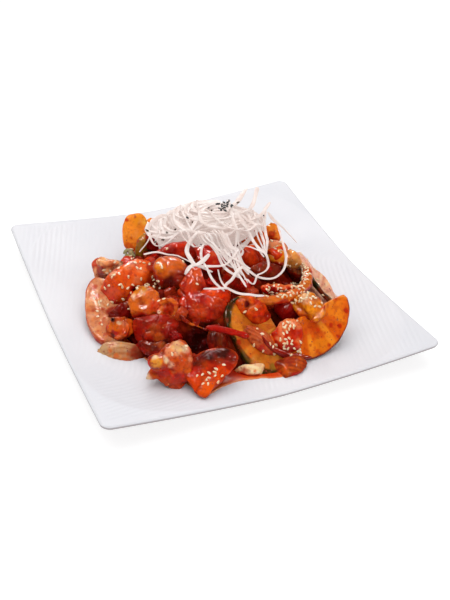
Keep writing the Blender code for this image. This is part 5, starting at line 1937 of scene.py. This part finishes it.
def twisted(path, draw, most):
    """The direction that a ribbon's flat side faces, wandering a little about straight up."""
    along = units(np.gradient(path, axis=0))
    side = units(np.cross((0, 0, 1), along))
    face = np.cross(along, side)
    place = np.linspace(0, 1, len(path))
    angle = draw.uniform(-most, most) + most * np.sin(2 * math.pi * (place * draw.uniform(0.3, 1.1) + draw.random()))
    return face * np.cos(angle)[:, None] + side * np.sin(angle)[:, None]


def ribbon_tree():
    """Turns every polyline into a flat ribbon with rounded edges, flat across its own facing direction."""
    tree, inputs, outputs = new_tree(
        "noodle_ribbons",
        (
            ("Width", "NodeSocketFloat", RIBBON_WIDE * MM), ("Thickness", "NodeSocketFloat", RIBBON_THICK * MM),
            ("Rounding", "NodeSocketFloat", 0.3 * MM), ("Material", "NodeSocketMaterial", None),
        ),
    )
    get = inputs.outputs
    lines = node(tree, "GeometryNodeMeshToCurve", {0: get["Geometry"]})
    facing = node(tree, "GeometryNodeInputNamedAttribute", {"Name": "face"}, data_type="FLOAT_VECTOR")
    breadth = node(tree, "GeometryNodeInputNamedAttribute", {"Name": "breadth"}, data_type="FLOAT")
    held = node(
        tree, "GeometryNodeSetCurveNormal", {"Curve": lines.outputs[0], "Normal": facing.outputs[0]},
        mode="FREE",
    )
    outline = node(tree, "GeometryNodeCurvePrimitiveQuadrilateral", {"Width": get["Thickness"], "Height": get["Width"]})
    rounded_outline = node(
        tree, "GeometryNodeFilletCurve", {"Curve": outline.outputs[0], "Count": 2, "Radius": get["Rounding"]},
        mode="POLY",
    )
    swept = node(
        tree, "GeometryNodeCurveToMesh",
        {
            "Curve": held.outputs[0], "Profile Curve": rounded_outline.outputs[0], "Scale": breadth.outputs[0],
            "Fill Caps": True,
        },
    )
    smooth = node(tree, "GeometryNodeSetShadeSmooth", {0: swept.outputs[0]})
    return paint(tree, smooth, get["Material"], outputs)


def sweep_ribbons(name, ribbons, material):
    """One mesh of all ribbons, each given by its path, its facing directions and its breadth."""
    points, edges, facing, breadths = [], [], [], []
    for path, face, breadth in ribbons:
        first = len(points)
        points.extend(path)
        facing.extend(face)
        ends = np.minimum(np.arange(len(path)), np.arange(len(path))[::-1])
        breadths.extend(breadth * (1 - 0.45 * np.exp(-ends / 0.8)))
        edges.extend((first + step, first + step + 1) for step in range(len(path) - 1))
    mesh = bpy.data.meshes.new(name)
    mesh.from_pydata((np.array(points) * MM).tolist(), edges, [])
    for label, kind, key, values in (
        ("face", "FLOAT_VECTOR", "vector", facing), ("breadth", "FLOAT", "value", breadths),
    ):
        mesh.attributes.new(label, kind, "POINT").data.foreach_set(key, np.array(values, float).ravel())
    host = add_object(name + "_lines", mesh)
    made = grow(name, host, ribbon_tree(), {"Material": material})
    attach(made, "root")
    return made


NEST_RIBBONS, NEST_TRIES = 175, 900
SHORTEST_RUN = 14  # in steps along a ribbon
HIGHEST_RISE = 2.5  # of a ribbon over the dome
FAN = 9  # strands that hang side by side in front


def serve_nest(material):
    heights = height_map(food.values())
    draw = random.Random(7)
    nest = []
    for _ in range(NEST_TRIES):
        if len(nest) == NEST_RIBBONS:
            break
        plan = nest_route(draw)
        across, down = pictured(np.column_stack([plan, nest_height(plan)]))
        first, last = longest(down < np.interp(across, *np.array(NEST_FRONT).T) - draw.uniform(0, 9))
        if last - first < SHORTEST_RUN:
            continue
        path = lay(heights, plan[first:last])
        over = path[:, 2] - nest_height(path[:, :2])
        if over.max() > HIGHEST_RISE:
            continue
        press(heights, path)
        nest.append((path, twisted(path, draw, 0.3), draw.uniform(0.6, 1.45)))
    strands = []
    draped = [[on_dome(across, down, floor) for across, down in spots] for floor, spots in DRAPED]
    for share in np.linspace(0, 0.85, FAN):
        lean = 3 * math.sin(9 * share)
        spots = (
            (196 + 34 * share, 238 - 2 * share + lean), (212 + 26 * share, 255 - 3 * share + lean),
            (230 + 18 * share, 272 - 2 * lean), (240 + 12 * share, 278 - 3 * lean),
        )
        draped.append([on_dome(across, down, 56) for across, down in spots])
    breadths = [(draw.uniform(0.65, 1.1), draw.uniform(0.5, 0.9)) for _ in DRAPED]
    breadths += [(draw.uniform(0.6, 0.95), draw.uniform(0.4, 0.7)) for _ in range(FAN)]
    for points, breadth in zip(draped + list(STRANDS), breadths + list(STRAND_BREADTHS)):
        route = smooth_path(points, 1.5)
        path = lay(heights, route[:, :2], route[:, 2], 20)
        press(heights, path)
        along = np.linspace(0, 1, len(path))
        breadth = np.interp(along, np.linspace(0, 1, len(breadth)), breadth)
        wander = 1 + 0.14 * np.sin(9 * along + draw.uniform(0, 6))
        strands.append((path, twisted(path, draw, 0.4), breadth * wander))
    made = sweep_ribbons("noodle_nest_ribbons", nest, material)
    loose = sweep_ribbons("noodle_strands", strands, material)
    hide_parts("noodle_nest")
    return made, loose


def scatter_dark_seeds(things, black, brown):
    surface = surface_of(things)
    for name, spots, material in (("black_sesame", BLACK_SPOTS, black), ("brown_sesame", BROWN_SPOTS, brown)):
        places, ups = [], []
        for across, down in spots:
            place, normal = seen(surface, across, down)
            if place is not None:
                places.append(place + normal * 0.7)
                ups.append(normal)
        host = points_object(name + "_points", places, ups)
        sizes = {**SEED_SIZES, "Thickness": 1.3 * MM}
        made = grow(name, host, seed_tree(), {"Material": material, "Seed": 9, **sizes})
        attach(made, "root")


# ---- floor and light ----


FLOOR_REACH = 4.0  # in metres
# Name, place and aim in metres, size, power, and whether it lights faces and shows as a glint.
LIGHTS = (
    ("window", (-0.08, 0.2, 1.0), (0, 0, 0.03), 1.3, 8.1, True, False),
    ("fill", (-0.05, -0.95, 0.6), (0, 0, 0.02), 0.9, 2.4, True, False),
    ("glint_left", (-0.55, 0.25, 0.8), (0, 0, 0.03), 0.26, 13.0, False, True),
    ("glint_front", (-0.1, -0.75, 0.75), (0, 0, 0.03), 0.12, 2.0, False, True),
    ("glint_right", (0.7, -0.1, 0.7), (0, 0, 0.03), 0.16, 3.5, False, True),
    ("glint_back", (0.25, 0.7, 0.75), (0, 0, 0.03), 0.22, 9.0, False, True),
)


def set_the_stage():
    floor_mesh = bpy.data.meshes.new("floor")
    corners = [(x * FLOOR_REACH, y * FLOOR_REACH, 0) for x, y in ((-1, -1), (1, -1), (1, 1), (-1, 1))]
    floor_mesh.from_pydata(corners, [], [(0, 1, 2, 3)])
    floor = add_object("floor", floor_mesh)
    material, _, shader = new_material("pale_floor")
    set_inputs(shader, {
        "Base Color": (0.4, 0.4, 0.4, 1), "Roughness": 0.9, "Specular IOR Level": 0.1, "Emission Color": (1, 1, 1, 1),
        "Emission Strength": 0.72,
    })
    floor_mesh.materials.append(material)
    world = bpy.data.worlds.new("studio")
    bpy.context.scene.world = world
    world.use_nodes = True
    nodes, links = world.node_tree.nodes, world.node_tree.links
    backdrop = nodes["Background"]
    backdrop.inputs["Color"].default_value = (1.0, 1.0, 1.0, 1)
    path = nodes.new("ShaderNodeLightPath")
    strength = None
    for kind, low, high in (("Is Glossy Ray", 0.53, 0.02), ("Is Camera Ray", None, 1.0)):
        share = nodes.new("ShaderNodeMix")
        links.new(path.outputs[kind], share.inputs["Factor"])
        share.inputs["B"].default_value = high
        if strength is None:
            share.inputs["A"].default_value = low
        else:
            links.new(strength, share.inputs["A"])
        strength = share.outputs["Result"]
    links.new(strength, backdrop.inputs["Strength"])
    for name, place, aim, size, power, diffuse, glossy in LIGHTS:
        data = bpy.data.lights.new(name, "AREA")
        data.shape = "SQUARE"
        data.size = size
        data.energy = power
        light = add_object(name, data)
        light.location = place
        direction = Vector(aim) - Vector(place)
        light.rotation_euler = direction.to_track_quat("-Z", "Y").to_euler()
        light.visible_diffuse = diffuse
        light.visible_glossy = glossy
    view = bpy.context.scene.view_settings
    view.view_transform = "Standard"
    view.look = "None"


def main():
    make_camera()
    set_the_stage()
    serve_plate()
    squid = dressed_food("dressed_squid", coat=0.6)
    apple = dressed_food("dressed_apple", SCARLET, 0.3, 0.9, 0.32, 0.12, coat=0.5, mottle=0.45)
    crisp = dressed_food("dressed_cucumber", SCARLET, 0.3, 0.7, 0.3, 0.15, coat=0.5, mottle=0.4)
    root = dressed_food("dressed_carrot", CRIMSON, 0.35, 0.6, 0.36, 0.25, coat=0.22, shine=0.04)
    pepper = dressed_food("dressed_pepper", CRIMSON, 0.25, 0.4, 0.26, 0.14, coat=0.7, mottle=0.4)
    onion = dressed_food("dressed_onion", SCARLET, 0.3, 0.5, 0.3, 0.2, 0.3, coat=0.3, mottle=0.5)
    leaf = dressed_food("dressed_leaf", CRIMSON, 0.4, 0.4, 0.4, 0.3, coat=0.2)
    bed = dressed_food("soaked_shreds", CRIMSON, 0.2, 0.2, 0.4, 0.5, 0.0, coat=0.04, shine=0.0)
    sauce = dressed_food("red_dressing", SCARLET, 0.2, 0.8, 0.2, 0.08, 0.1, coat=0.9, mottle=0.3)
    serve_bed(bed)
    serve_dressing(sauce)
    serve_slices(apple, crisp)
    serve_squid(squid, root)
    serve_vegetables(pepper, apple, crisp, root, onion, leaf)
    serve_back(squid, apple, crisp, root, pepper)
    for thing in food.values():
        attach(thing, "root")
    food["morsels"] = serve_morsels(root)
    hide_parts("salad_heap")
    scatter_white_seeds(plain_finish("sesame_white", colour(246, 224, 188), colour(228, 184, 130), 0.45, 2.0, 0.2, 0.2))
    scatter_flakes(plain_finish("chilli_flake", colour(120, 12, 8), colour(176, 40, 14), 0.4, 2.0, 0.3))
    nest = serve_nest(noodle_finish())
    scatter_dark_seeds(
        nest,
        plain_finish("sesame_black", colour(16, 13, 13), colour(30, 25, 24), 0.5, 1.5, 0.1),
        plain_finish("sesame_brown", colour(96, 66, 34), colour(64, 44, 26), 0.5, 1.5, 0.1),
    )


main()
